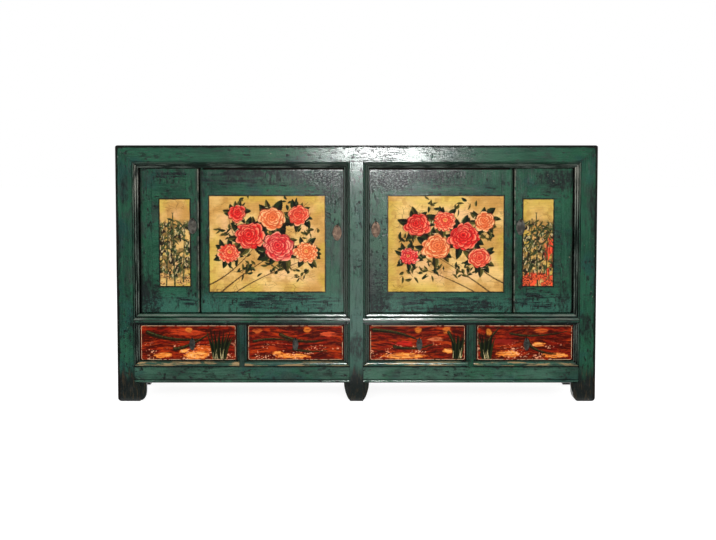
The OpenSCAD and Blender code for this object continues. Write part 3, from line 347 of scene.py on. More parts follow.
def bamboo_picture(seed, warm):
    """Bamboo among rocks and washes of ink on a gold ground. warm has red earth at its foot."""
    s = Canvas(102, 291, 1.0)
    gold_ground(s, seed)
    s.colour *= (0.95, 0.89, 0.80)
    rng = np.random.default_rng(seed)
    place = smooth(226 - s.y, 0, 24) * smooth(s.y, 16, 40)
    s.lay((112, 86, 46), 0.85 * s.patches(15, 12, seed + 2, 4, 0.48, 0.56) * place)
    green = s.patches(13, 16, seed + 9, 4, 0.52, 0.58)
    s.lay((44, 62, 34), 0.85 * green * place, 0.3)
    dark = s.patches(10, 13, seed + 5, 4, 0.52, 0.56)
    s.lay(INK, 0.9 * dark * place, 0.3)
    hairs = s.patches(3.2, 9, seed + 13, 3, 0.57, 0.64) * place
    s.lay((238, 208, 150), 0.75 * hairs * np.maximum(dark, green), 0.5)
    if warm:
        glow = s.patches(12, 24, seed + 8, 3, 0.42, 0.54)
        low = np.maximum(smooth(s.x, 66, 84) * smooth(176 - s.y, 0, 24), smooth(50 - s.y, 0, 12))
        s.lay((238, 74, 44), 0.9 * glow * low, 0.3)
        s.lay((120, 30, 18), 0.8 * low * s.patches(4, 14, seed + 6, 3, 0.58, 0.64), 0.3)
    for x0, x1, width, top in ((22, 30, 5, 226), (50, 44, 6, 246), (78, 84, 4.5, 214)):
        for k in range(7):
            low = (x0 + (x1 - x0) * k / 7, top * k / 7 + 2)
            high = (x0 + (x1 - x0) * (k + 1) / 7, top * (k + 1) / 7 - 1)
            green = (64, 74, 38) if k % 2 else (40, 48, 26)
            stroke(s, [low, high], width * (1 - 0.06 * k), green, 0.9, 0.4, k)
            stroke(s, [(high[0] - width * 0.6, high[1]), (high[0] + width * 0.6, high[1])], 1.8, INK, 1.0)
    for k in range(54):
        angle = rng.choice([-0.9, -2.2, -0.5, -2.6]) + rng.uniform(-0.25, 0.25)
        tones = (INK, (64, 84, 44)) if k % 3 else OLIVE
        x, y, length = rng.uniform(8, 94), rng.uniform(56, 228), rng.uniform(18, 36)
        leaf(s, x, y, length, angle, rng.uniform(5, 9), tones, k)
    stone, cleft = ((214, 84, 46), (96, 30, 20)) if warm else ((206, 158, 92), (84, 58, 34))
    for k in range(9):
        x, y, radius = rng.uniform(6, 96), rng.uniform(8, 40), rng.uniform(8, 16)
        w = s.window(x, y, radius * 2)
        d = np.hypot(w.x - x, (w.y - y) * 1.5) + 7 * (w.noise(5, 5, k, 2) - 0.5)
        rock = smooth(radius - d, 0, 1.5)
        w.lay(stone, rock, 0.5)
        w.lay(cleft, rock * w.patches(4, 3, k + 5, 2, 0.5, 0.6), 0.4)
        w.lay(INK, rock * smooth(d, radius * 0.78, radius * 0.95) * 0.85, 0.5)
    s.border(seed, 0.8)
    return s


def drawer_painting(seed, tufts, blades, patches, glows):
    """Red and orange streaks with dark green blades and grass, and light patches near the foot."""
    s = Canvas(315.5, 115, 1.0)
    rng = np.random.default_rng(seed)
    lean = s.y + 5 * np.sin(s.x / 34 + seed)
    fine, broad = cloud(s.x / 36, lean / 5.0, seed, 4), cloud(s.x / 80, lean / 24, seed + 4, 3)
    s.colour[:] = blend((74, 12, 8), (158, 34, 16), smooth(fine * 0.7 + broad * 0.3, 0.34, 0.62))
    s.lay((214, 88, 28), 0.85 * smooth(fine * 0.45 + broad * 0.55, 0.56, 0.70))
    thin = smooth(cloud(s.x / 20, lean / 2.4, seed + 9, 3), 0.54, 0.64)
    s.lay((66, 14, 10), thin * 0.7)
    s.lay((222, 100, 44), smooth(cloud(s.x / 16, lean / 2.2, seed + 17, 3), 0.60, 0.68) * 0.5)
    s.colour *= (0.79, 0.61, 0.28)
    for x, y, rx, ry, tone in glows:
        d = np.hypot((s.x - x) / rx, (s.y - y) / ry) + 0.7 * (s.noise(14, 4, seed + 2, 3) - 0.5)
        s.lay(np.multiply(tone, (0.92, 0.80, 0.70)), smooth(1.05 - d, 0, 0.35) * (0.9 - 0.5 * thin), 0.4)
    for x, y, rx, ry in patches:
        d = np.hypot((s.x - x) / rx, (s.y - y) / ry) + 0.9 * (s.noise(9, 5, seed + 3, 3) - 0.5)
        s.lay((220, 122, 44), smooth(1 - d, 0, 0.22), 0.5)
        s.lay((240, 166, 84), smooth(0.8 - d, 0, 0.3) * smooth(fine, 0.35, 0.6), 0.5)
        s.lay((120, 34, 16), smooth(1 - d, 0, 0.22) * thin * 0.6, 0.4)
    flecks = s.patches(4.5, 3, seed + 6, 2, 0.62, 0.70)
    flecks = flecks * s.patches(30, 14, seed + 7, 2, 0.50, 0.62) * smooth(70 - s.y, 0, 30)
    s.lay((244, 176, 134), flecks * 0.85, 0.5)
    for points, width in blades:
        stroke(s, points, width, STEM, 0.3, 0.35, seed)
        ridge = [(px, py + width * 0.22) for px, py in points]
        stroke(s, ridge, width * 0.35, (70, 68, 34), 0.2, 0.7, seed + 1)
    for x, y, count, spread, tall in tufts:
        for k in range(count):
            f = (k + 0.5) / count - 0.5
            reach = (x + f * spread * 1.5 + rng.uniform(-5, 5), y + tall * rng.uniform(0.7, 1.1))
            green = (12, 18, 8) if k % 3 else (32, 40, 16)
            stroke(s, [(x + f * spread * 0.6, y), (x + f * spread, y + tall * 0.6), reach], 8.5, green, 0.12)
        for k in range(count // 2):
            px = x + rng.uniform(-0.4, 0.4) * spread
            top = (px + rng.uniform(-8, 8), y + tall * rng.uniform(0.15, 0.4))
            stroke(s, [(px, y), top], 2, (228, 206, 150), 0.4, 0.3, k)
    worn = s.noise(9, 9, seed + 12, 3)
    line = smooth(1.9 - s.edge() + (worn - 0.5) * 1.2, 0, 0.8) * smooth(worn, 0.22, 0.42)
    s.lay((206, 168, 132), line, 0.3)
    return s


# Stems are x, y of the foot, the bend and the head, and the width. Sprigs are x, y and a count of leaves.
# Blossoms are x, y, radius, tones, petals, rings and flatness.
PICTURES = {
    "left": (3,
        [(0, 24, 80, 60, 150, 150, 5), (40, 0, 120, 70, 240, 140, 5), (90, 0, 180, 60, 330, 110, 4),
         (150, 150, 230, 210, 330, 300, 4), (120, 120, 70, 190, 60, 280, 3)],
        [(120, 84, 15), (230, 84, 14), (60, 200, 9), (340, 190, 9), (300, 70, 9), (120, 284, 5),
         (268, 292, 5)],
        [(66, 130, 34, CORAL, 14, 5, 0.9), (136, 186, 46, RED, 9, 6, 0.9), (208, 244, 42, PEACH, 8, 6, 0.85),
         (298, 256, 34, CORAL, 8, 6, 0.9), (232, 150, 50, ROSE, 9, 7, 0.88),
         (322, 132, 37, PEACH, 14, 5, 0.9), (92, 262, 28, RED, 8, 5, 0.9)]),
    "right": (8,
        [(386, 30, 300, 70, 250, 140, 5), (340, 0, 260, 60, 160, 120, 5), (290, 0, 200, 50, 80, 90, 4),
         (240, 150, 160, 220, 70, 290, 4), (280, 130, 330, 190, 330, 280, 3)],
        [(250, 78, 15), (160, 76, 13), (330, 190, 9), (60, 160, 9), (80, 60, 8), (250, 290, 5),
         (150, 290, 5)],
        [(98, 224, 40, RED, 8, 6, 0.92), (188, 236, 36, CORAL, 14, 5, 0.9),
         (160, 150, 46, PEACH, 9, 7, 0.88), (254, 184, 48, RED, 9, 6, 0.9), (322, 236, 34, PEACH, 8, 6, 0.88),
         (304, 112, 36, CORAL, 8, 6, 0.86), (70, 118, 30, ROSE, 13, 5, 0.9)]),
}
# Tufts are x, y, count, spread and height; blades are points and a width; patches are x, y and two radii;
# glows are a patch and its colour.
DRAWERS = (
    (21, [(262, 4, 16, 66, 98)],
        [([(22, 92), (90, 60), (190, 68)], 15), ([(112, 36), (160, 40), (226, 86)], 13)],
        [(70, 16, 34, 10), (186, 14, 48, 15), (142, 30, 18, 8)],
        [(150, 92, 60, 12, (200, 72, 30)), (206, 34, 40, 16, (226, 114, 40)),
         (160, 100, 14, 8, (226, 150, 62))]),
    (22, [],
        [([(18, 62), (90, 78), (150, 60)], 9), ([(108, 84), (170, 52), (250, 64)], 13),
         ([(150, 36), (200, 22), (262, 30)], 9)],
        [(150, 12, 70, 9), (96, 22, 20, 8)],
        [(196, 100, 14, 12, (226, 140, 50)), (268, 86, 34, 9, (236, 104, 62)),
         (30, 98, 16, 10, (206, 110, 46))]),
    (23, [(292, 6, 10, 40, 90)],
        [([(10, 100), (100, 96), (160, 66)], 13), ([(80, 44), (150, 28), (210, 52)], 11),
         ([(262, 92), (280, 60), (292, 14)], 12)],
        [(110, 12, 78, 12), (262, 30, 26, 10)],
        [(112, 54, 40, 11, (208, 42, 34)), (220, 70, 30, 7, (222, 140, 100)),
         (160, 100, 14, 12, (222, 140, 46)), (256, 98, 16, 14, (214, 132, 50))]),
    (24, [(30, 4, 10, 46, 94)],
        [([(14, 16), (34, 70), (74, 108)], 13), ([(110, 88), (190, 70), (300, 96)], 8),
         ([(168, 66), (176, 26), (262, 18)], 12)],
        [(104, 20, 40, 13), (262, 14, 44, 10), (204, 52, 24, 9)],
        [(90, 60, 50, 12, (146, 34, 22)), (212, 98, 26, 10, (206, 104, 44)),
         (38, 92, 10, 14, (214, 150, 56))]),
)


# Nodes
def linear(value):
    """The linear value of an sRGB one from 0 to 255."""
    v = np.asarray(value, float) / 255
    return np.where(v <= 0.04045, v / 12.92, ((v + 0.055) / 1.055) ** 2.4)


def rgb(colour):
    """An 8-bit colour as a linear one, with its alpha."""
    return (*(float(c) for c in linear(colour)), 1.0)


class Nodes:
    """A tree of nodes. What its methods return is an output to link on, apart from those of add and put."""

    def __init__(self, tree):
        self.tree = tree

    def add(self, kind, links=(), **settings):
        """A node with its settings, and its inputs by name or number."""
        node = self.tree.nodes.new("ShaderNode" + kind)
        for key, value in settings.items():
            setattr(node, key, value)
        for key, value in dict(links).items():
            self.put(node.inputs[key], value)
        return node

    def put(self, socket, value):
        if isinstance(value, bpy.types.NodeSocket):
            self.tree.links.new(value, socket)
        else:
            socket.default_value = value

    def math(self, operation, *values, clamp=False):
        """The values joined one after the other."""
        total = values[0]
        for value in values[1:]:
            total = self.add("Math", {0: total, 1: value}, operation=operation, use_clamp=clamp).outputs[0]
        return total

    sum = partialmethod(math, "ADD")
    minus = partialmethod(math, "SUBTRACT")
    product = partialmethod(math, "MULTIPLY")
    most = partialmethod(math, "MAXIMUM")
    least = partialmethod(math, "MINIMUM")

    def size(self, value):
        """The value without its sign."""
        return self.math("ABSOLUTE", value, 0.0)

    def step(self, value, low, high, top=1.0):
        """0 below low, top above high, smooth between. low may be above high."""
        links = {"Value": value, "From Min": low, "From Max": high, "To Min": 0.0, "To Max": top}
        return self.add("MapRange", links, interpolation_type="SMOOTHSTEP").outputs[0]


# The materials by name
LOOKS = {}


class Look(Nodes):
    """A material, with the colour that it has so far."""

    def __init__(self, name):
        LOOKS[name] = material = bpy.data.materials.new(name)
        material.use_nodes = True
        super().__init__(material.node_tree)
        self.shader = self.tree.nodes["Principled BSDF"]
        self.at = self.add("TexCoord").outputs["Object"]
        self.colour = None

    def place(self):
        """The three coordinates of the point, in metres, in the assembly's frame."""
        return self.add("SeparateXYZ", {0: self.at}).outputs

    def stretch(self, x, y, z, shift=0.0):
        """The object's coordinates, in metres, times x, y and z."""
        links = {"Location": (shift, shift, shift), "Scale": (x, y, z), "Vector": self.at}
        return self.add("Mapping", links).outputs[0]

    def along(self, grain, long, across, shift=0.0):
        """Coordinates drawn out along the grain's axis."""
        return self.stretch(*(long if axis == grain else across for axis in "xyz"), shift)

    def noise(self, vector, scale, detail, rough, span=None, bend=0.0):
        """Noise, or a step of it where it has a span."""
        links = {"Vector": vector, "Scale": scale, "Detail": detail, "Roughness": rough, "Distortion": bend}
        value = self.add("TexNoise", links).outputs["Fac"]
        return self.step(value, *span) if span else value

    def fibres(self, grain, long, across, shift, *settings):
        """Noise drawn out along the grain's axis."""
        return self.noise(self.along(grain, long, across, shift), 1.0, *settings)

    def patches(self, shift, *settings):
        """Even noise. Each shift has its own places."""
        return self.noise(self.stretch(1, 1, 1, shift) if shift else self.at, *settings)

    def ragged(self, noise, reach):
        """Noise as a shift to either side."""
        return self.product(self.minus(noise, 0.5), reach)

    def mix(self, a, b, *shares, mode="MIX"):
        """Colour a turned to b, as far as the product of the shares. Either may be an 8-bit colour."""
        links = {0: self.product(*shares)}
        for place, colour in ((6, a), (7, b)):
            links[place] = rgb(colour) if isinstance(colour, tuple) else colour
        return self.add("Mix", links, data_type="RGBA", blend_type=mode, clamp_factor=True).outputs[2]

    def lay(self, colour, *shares):
        """Lays a colour over the colour so far."""
        self.colour = self.mix(self.colour, colour, *shares)

    def depth(self, across, up, part):
        """How far a point lies inside that part of a door; below 0 outside it."""
        depths = []
        for kind in ("narrow", "wide"):
            low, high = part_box(f"door_right_{kind}_{part}")
            depths.append(self.least(self.minus(across, low.x), self.minus(high.x, across),
                                     self.minus(up, low.z), self.minus(high.z, up)))
        return self.most(*depths)

    def edges(self, radius, low, high):
        """1 at sharp edges and in corners, within the radius."""
        round_normal = self.add("Bevel", {"Radius": radius}, samples=4).outputs[0]
        true_normal = self.add("NewGeometry").outputs["Normal"]
        links = {0: round_normal, 1: true_normal}
        dot = self.add("VectorMath", links, operation="DOT_PRODUCT").outputs["Value"]
        return self.step(dot, 1 - low, 1 - high)

    def rounded(self, low, high):
        """1 on rounded arrises and beads, where the surface turns away from all three axes."""
        normal = self.add("NewGeometry").outputs["Normal"]
        own = self.add("VectorTransform", {0: normal}, vector_type="NORMAL", convert_from="WORLD",
                       convert_to="OBJECT").outputs[0]
        size = self.add("VectorMath", {0: own}, operation="ABSOLUTE").outputs[0]
        return self.step(self.most(*self.add("SeparateXYZ", {0: size}).outputs), 1 - low, 1 - high)

    def shade(self, distance, low, high):
        """1 in narrow gaps and corners, 0 in the open."""
        node = self.add("AmbientOcclusion", {"Distance": distance}, samples=4)
        return self.step(node.outputs["AO"], high, low)

    def flatten(self, height, crests):
        """A normal that is level across the crests of beads. crests are a height, a half width and the
        normal's rise."""
        normal = self.add("NewGeometry").outputs["Normal"]
        for centre, half, rise in crests:
            away = self.size(self.minus(height, centre))
            links = {0: self.step(away, half * 1.8, half * 0.6), 4: normal, 5: (0.0, -1.0, rise)}
            normal = self.add("Mix", links, data_type="VECTOR").outputs[1]
        return self.add("VectorMath", {0: normal}, operation="NORMALIZE").outputs[0]

    def bump(self, *layers, normal=None):
        """Bumps of a height and a depth in metres, each on top of the last."""
        for height, depth in layers:
            links = {"Height": height, "Distance": depth, "Strength": 1.0}
            if normal is not None:
                links["Normal"] = normal
            normal = self.add("Bump", links).outputs[0]
        self.put(self.shader.inputs["Normal"], normal)
        self.put(self.shader.inputs["Coat Normal"], normal)

    def finish(self, rough, specular, metallic=0.0, coat=0.0):
        settings = {"Base Color": self.colour, "Roughness": rough, "Metallic": metallic,
                    "Specular IOR Level": specular, "Coat Weight": coat, "Coat Roughness": 0.10}
        for key, value in settings.items():
            self.put(self.shader.inputs[key], value)


# Worn places, in mm: centre x and z, and two radii. On the doors bare, smeared and crazed, then on the frame
WORN_DOORS = ((-700, 350, 45, 85), (-300, 750, 200, 30), (120, 745, 110, 48), (660, 745, 80, 36),
              (-90, 715, 45, 75), (75, 335, 40, 42), (690, 345, 30, 60), (220, 760, 110, 18),
              (670, 740, 90, 52))
SMEARED_DOORS = ((-250, 332, 210, 30), (290, 325, 230, 40), (610, 340, 90, 36), (-560, 335, 50, 20),
                 (-420, 745, 120, 30), (-620, 755, 70, 20))
CRAZED = ((110, 742, 120, 52), (250, 752, 130, 30), (-110, 750, 140, 34), (-300, 768, 160, 12),
          (75, 365, 48, 110), (-695, 335, 50, 60), (400, 318, 130, 22), (675, 742, 62, 36))
WORN_FRAME = ((-795, 490, 12, 140), (-735, 220, 26, 80), (765, 250, 20, 60), (0, 180, 30, 50),
              (785, 640, 14, 120), (-770, 700, 14, 60))
# Crests of the beads on the low rails: height, half width, and the rise of their worn flats; and where the
# upper rails' beads are rubbed pale and carry a painted glint of the flash
CRESTS = ((0.2888, 0.0027, 0.108), (0.2764, 0.0016, 0.110), (0.1262, 0.0010, 0.141), (0.0678, 0.0005, 0.152))
RUBBED_AND_GLINTING_CRESTS = ((0.2892, 0.0020), (0.2750, 0.0032))
# Where a paint or a place begins and where it is full, in metres: depths, distances from the middle, heights,
# and distances from the edge of a door or picture
FACE_DEPTH = (-0.2040, -0.2080)
REED_DEPTH = (-0.2096, -0.2088)
DRAWER_EDGE_DEPTH = (-0.2020, -0.2036)
REED_SIDE = (0.7458, 0.7452)
REED_HIGHLIGHT_SIDE = (0.40, 0.50)
DULL_REED_SIDE = (0.30, 0.20)
OUTLINE_SIDE = (0.7895, 0.7935)
CENTRE_POST_SIDE = (0.060, 0.050)
BESIDE_POST_SIDE = (0.028, 0.030)
GLINT_SIDE = (0.22, 0.12)
ARRIS_SIDE = (0.075, 0.045)
LIT_LEFT = (-0.260, -0.180)
LIT_RIGHT = (0.160, 0.060)
REED_TOP = (0.8006, 0.7996)
REED_HIGHLIGHT_TOP = (0.60, 0.765)
OUTLINE_TOP = (0.8448, 0.8485)
GLINT_TOP = (0.60, 0.70)
ARRIS_TOP = (0.770, 0.768)
LIT_TOP = (0.7700, 0.7735)
DOOR_FOOT = (0.385, 0.320)
POST_FOOT = (0.340, 0.290)
BLACK_FEET = (0.135, 0.070)
SCRATCHED_FEET = (0.125, 0.085)
RAIL_HOLLOW = ((0.2660, 0.2635), (0.2560, 0.2566))
RUBBED_BEAD = ((0.1180, 0.1190), (0.1330, 0.1320))
DOOR_BORDER = (0.016, 0.003)
DOOR_ARRIS = (0.0042, 0.0026)
PICTURE_RIM = (-0.0042, -0.0022)
# The middle of the flash's painted glint on the low rails, and its reach; and how ragged the outline and the
# feet are
FLASH_SIDE = 0.06
FLASH_REACH = (0.27, 0.08)
OUTLINE_RAGGED = 0.010
FEET_RAGGED = 0.16


# The lacquer
def worn_places(look, places, reach=2.4):
    """1 inside the places, with ragged outlines."""
    ragged = look.ragged(look.patches(0, 34, 5, 0.7), reach)
    total = 0.0
    for place in places:
        x, z, rx, rz = (value / 1000 for value in place)
        links = {0: look.stretch(1 / rx, 0, 1 / rz), 1: (x / rx, 0, z / rz)}
        away = look.add("VectorMath", links, operation="DISTANCE").outputs["Value"]
        total = look.most(total, look.step(look.sum(away, ragged), 1.15, 0.55))
    return total


def teal_ground(look, grain, tones):
    """Teal with brush marks, clouded with blue, green and a pale haze. Returns the brush marks."""
    broad = look.patches(0, 5.0, 4, 0.6)
    brush = look.fibres(grain, 7, 60, 0, 4, 0.6)
    fine = look.fibres(grain, 16, 300, 3.1, 3, 0.6)
    tone = look.sum(look.product(brush, 0.3), look.product(fine, 0.2), look.product(broad, 0.5))
    look.colour = look.mix(*tones, look.step(tone, 0.40, 0.60))
    look.lay((24, 62, 66), look.patches(3.3, 9.0, 4, 0.6, (0.52, 0.64)), 0.4)
    look.lay((30, 84, 56), look.patches(6.1, 12.0, 4, 0.6, (0.54, 0.66)), 0.5)
    look.lay((46, 56, 51), look.fibres(grain, 8, 16, 7.7, 5, 0.68, (0.51, 0.66)), 0.6)
    return brush, fine


def bare_marks(look, grain):
    """Where the black ground shows, as blots, marks, streaks and specks, each kind in its own places."""
    blots = look.product(look.fibres(grain, 24, 46, 1.7, 5, 0.66, (0.57, 0.65)),
                         look.patches(2.9, 6.0, 3, 0.6, (0.42, 0.58)))
    marks = look.product(look.fibres(grain, 56, 140, 6.3, 3, 0.6, (0.575, 0.61)),
                         look.patches(8.8, 8.0, 4, 0.6, (0.42, 0.54)))
    streaks = look.product(look.fibres(grain, 14, 260, 5.3, 4, 0.62, (0.57, 0.64)),
                           look.patches(2.2, 9.0, 3, 0.6, (0.42, 0.58)))
    specks = look.product(look.patches(0, 190, 3, 0.6, (0.62, 0.68)),
                          look.patches(4.4, 11.0, 3, 0.6, (0.45, 0.58)))
    return blots, marks, streaks, specks


def door_paint(look, x, side, z):
    """What only the doors have: a paler foot, smears, dark borders, light arrises of rubbed paint and painted
    highlight, a painted highlight along their tops near the middle, and the pictures' rims.
    """
    look.lay((54, 104, 88), look.step(z, *DOOR_FOOT), 0.7)
    hairs = look.fibres("x", 11, 130, 2.6, 5, 0.66, (0.46, 0.56))
    look.lay((13, 20, 26), worn_places(look, SMEARED_DOORS), hairs, 0.92)
    depth = look.depth(side, z, "frame")
    patchy = look.patches(5.5, 14, 4, 0.65, (0.34, 0.58))
    look.lay((40, 38, 34), look.step(depth, *DOOR_BORDER), patchy, 0.75)
    broken = look.fibres("x", 30, 30, 1.2, 4, 0.65)
    plain = look.product(look.step(side, *ARRIS_SIDE), look.step(z, *ARRIS_TOP))
    # Rubbed paint and painted highlight: a light line along the door arrises
    look.lay((122, 122, 108), look.step(depth, *DOOR_ARRIS), look.step(broken, 0.40, 0.54),
             look.minus(1.0, plain), 0.75)
    # Painted highlight: a near white line along the doors' tops near the middle, where the flash shines
    look.lay((236, 238, 236), look.step(z, *LIT_TOP), look.step(x, *LIT_LEFT), look.step(x, *LIT_RIGHT),
             look.step(broken, 0.36, 0.50), 0.8)
    rim = look.step(look.depth(side, z, "picture"), *PICTURE_RIM)
    look.lay((13, 15, 13), rim, look.step(broken, 0.30, 0.44), 0.9)


def crackle(look, side, z):
    """Crackle in the crazed places, with painted glints near the flash. Returns where it is dark."""
    craze = look.fibres("x", 150, 270, 2.2, 3, 0.75, (0.40, 0.62))
    zone = look.product(worn_places(look, CRAZED, 1.7), look.step(side, *BESIDE_POST_SIDE))
    dark = look.product(zone, look.step(craze, 0.70, 0.30))
    look.lay((18, 22, 25), dark, 0.90)
    # Painted glints: light specks in the crazing near the flash
    look.lay((130, 140, 136), zone, look.step(craze, 0.62, 0.95), look.step(z, *GLINT_TOP),
             look.step(side, *GLINT_SIDE), 0.45)
    return dark


def outline(look, side, y, z):
    """1 on the frame's face along its outer edges, with a ragged border."""
    ragged = look.ragged(look.patches(7.3, 26, 4, 0.6), OUTLINE_RAGGED)
    edge = look.most(look.step(look.sum(side, ragged), *OUTLINE_SIDE),
                     look.step(look.sum(z, ragged), *OUTLINE_TOP))
    return look.product(look.step(y, *FACE_DEPTH), edge)


def reed_paint(look, grain, side, y, z):
    """Reeds with rubbed crests, painted highlights on them at the heads of the outer posts and painted shade
    on their flanks. Returns where they are.
    """
    inside = look.product(look.step(y, *REED_DEPTH), look.step(side, *REED_SIDE), look.step(z, *REED_TOP))
    rub = look.fibres(grain, 9, 60, 8.0, 4, 0.65)
    crest = look.mix((30, 40, 35), (96, 106, 98), look.step(rub, 0.42, 0.60))
    if grain == "z":
        crest = look.mix(crest, (82, 94, 86), look.step(side, *DULL_REED_SIDE), 0.85)
        # Painted highlight: the crests near white at the heads of the outer posts
        crest = look.mix(crest, (172, 172, 160), look.step(z, *REED_HIGHLIGHT_TOP), look.step(rub, 0.34, 0.56),
                         look.step(side, *REED_HIGHLIGHT_SIDE), 0.85)
    # Painted shade: the reeds' flanks near black
    look.lay(look.mix(crest, (7, 8, 8), look.rounded(0.02, 0.10)), inside, 0.92)
    return inside


def rail_paint(look, x, z):
    """The low rails: a dark hollow, a bead rubbed to the wood, and crests rubbed pale with a painted glint
    near the flash.
    """
    look.lay((9, 13, 12), *(look.step(z, *span) for span in RAIL_HOLLOW), 0.95)
    rub = look.fibres("x", 12, 90, 4.0, 4, 0.65, (0.50, 0.60))
    look.lay((170, 138, 94), *(look.step(z, *span) for span in RUBBED_BEAD), rub, 0.75)
    worn_and_glinting_flat = look.fibres("x", 6, 60, 9.3, 4, 0.65, (0.40, 0.60))
    near_flash = look.step(look.size(look.minus(x, FLASH_SIDE)), *FLASH_REACH)
    for centre, half in RUBBED_AND_GLINTING_CRESTS:
        crest = look.product(look.step(look.size(look.minus(z, centre)), half * 2, half), worn_and_glinting_flat)
        look.lay((106, 112, 103), crest, 0.7)
        # Painted highlight: the crests near white where the flash glints on them
        look.lay((214, 218, 214), crest, near_flash, 0.7)


def paint_look(name, grain, places=(), feet=False, reeds=False, rails=False, doors=False, tones=TEAL,
               gloss=0.9):
    """Teal lacquer brushed over black, rubbed through at edges and in patches, with painted shade in gaps and
    on arrises.
    """
    look = Look(name)
    x, y, z = look.place()
    side = look.size(x)
    brush, fine = teal_ground(look, grain, tones)
    if feet and reeds:
        # Painted light: the centre post made paler, and more so low down, for the front light on it
        low = look.sum(look.step(z, *POST_FOOT, 0.35), 0.35)
        look.lay((46, 90, 77), look.step(side, *CENTRE_POST_SIDE), low)
    blots, marks, streaks, specks = bare_marks(look, grain)
    bare = look.most(look.product(blots, 0.7), look.product(marks, 0.95), look.product(streaks, 0.7), specks)
    if not doors:
        rubbed = look.product(look.edges(0.0030, 0.01, 0.16), look.patches(0, 60, 4, 0.65, (0.28, 0.50)))
        bare = look.most(bare, rubbed)
    worn = 0.0
    if places:
        worn = worn_places(look, places)
        broken = look.fibres(grain, 40, 130, 2.4, 5, 0.7, (0.42, 0.58))
        bare = look.most(bare, look.product(worn, look.sum(look.product(broken, 0.62), 0.30)))
    if feet:
        ragged = look.ragged(look.fibres("z", 9, 60, 0, 5, 0.7), FEET_RAGGED)
        bare = look.most(bare, look.step(look.sum(z, ragged), *BLACK_FEET, 0.97))
    if doors:
        door_paint(look, x, side, z)
    look.lay(look.mix((11, 14, 15), (29, 29, 31), look.patches(0, 40, 4, 0.7, (0.50, 0.70))), bare)
    dark_craze = crackle(look, side, z) if places else 0.0
    speckle = look.patches(7.9, 300, 2, 0.6, (0.35, 0.65))
    look.lay((110, 128, 118), speckle, 0.045)
    look.lay((8, 10, 10), look.minus(1.0, speckle), 0.22)
    # Painted shade, with worn paint: rounded arrises and bead flanks that turn away from the front are
    # darkened
    arris = look.rounded(0.10, 0.24)
    look.lay((9, 12, 11), arris, 0.6 if rails else 0.9)
    outer = outline(look, side, y, z)
    inside = 0.0
    if reeds:
        # Painted shade: the frame's face darkened along its outer edges
        look.lay((16, 13, 12), outer, 0.92)
        inside = reed_paint(look, grain, side, y, z)
    if rails:
        rail_paint(look, x, z)
    if feet:
        scratch = look.fibres("z", 30, 190, 1.1, 4, 0.65, (0.52, 0.62))
        look.lay((74, 60, 40), scratch, look.step(z, *SCRATCHED_FEET), 0.45)
    # Painted shade: near black in gaps and corners
    look.lay((7, 9, 8), look.shade(0.014, 0.35, 0.80), 0.95)
    look.lay((170, 164, 142), look.patches(9.1, 150, 2, 0.5, (0.72, 0.76)),
             look.patches(1.3, 7.0, 2, 0.5, (0.56, 0.66)), 0.7)
    wave = look.fibres(grain, 5, 12, 6.6, 2, 0.5)
    layers = [(wave, 0.00026), (brush, 0.00008), (fine, 0.00003), (bare, -0.00008)]
    if places:
        layers.append((look.product(worn, look.patches(0, 230, 4, 0.5)), 0.00018))
    look.bump(*layers, normal=look.flatten(z, CRESTS) if rails else None)
    rough = look.sum(look.product(fine, 0.10), 0.21, look.product(bare, 0.16))
    dull = look.most(look.product(look.most(marks, specks, arris), 0.62 * gloss), look.product(worn, 0.22),
                     look.product(inside, 0.75), look.product(dark_craze, 0.5), look.product(outer, 0.85))
    look.finish(rough, 0.2, coat=look.math("SUBTRACT", gloss, dull, clamp=True))


# Wood, sheets and metal
def wood_look(name, grain, dark, light, dirt=0.5):
    """Bare old wood with growth rings along the grain, stains and dust, and painted shade in its corners."""
    look = Look(name)
    rings = look.noise(look.along(grain, 1.2, 15), 1.0, 3, 0.5, bend=1.6)
    lines = look.math("FRACT", look.product(rings, 11.0), 0.0)
    ring = look.step(look.size(look.minus(lines, 0.5)), 0.5, 0.12)
    fibre = look.fibres(grain, 14, 620, 0, 3, 0.6)
    look.colour = look.mix(dark, light, look.sum(look.product(ring, 0.45), look.product(fibre, 0.55)))
    look.lay((40, 27, 18), look.patches(0, 5.5, 5, 0.65, (0.46, 0.68)), dirt)
    pores = look.fibres(grain, 30, 900, 2.0, 2, 0.5, (0.62, 0.70))
    look.lay((30, 20, 13), pores, 0.5)
    # Painted shade in gaps and corners
    look.lay((18, 13, 10), look.shade(0.03, 0.30, 0.85), 0.7)
    look.bump((ring, 0.0002), (fibre, 0.00018), (pores, -0.00015))
    look.finish(look.sum(look.product(fibre, 0.2), 0.60), 0.25)


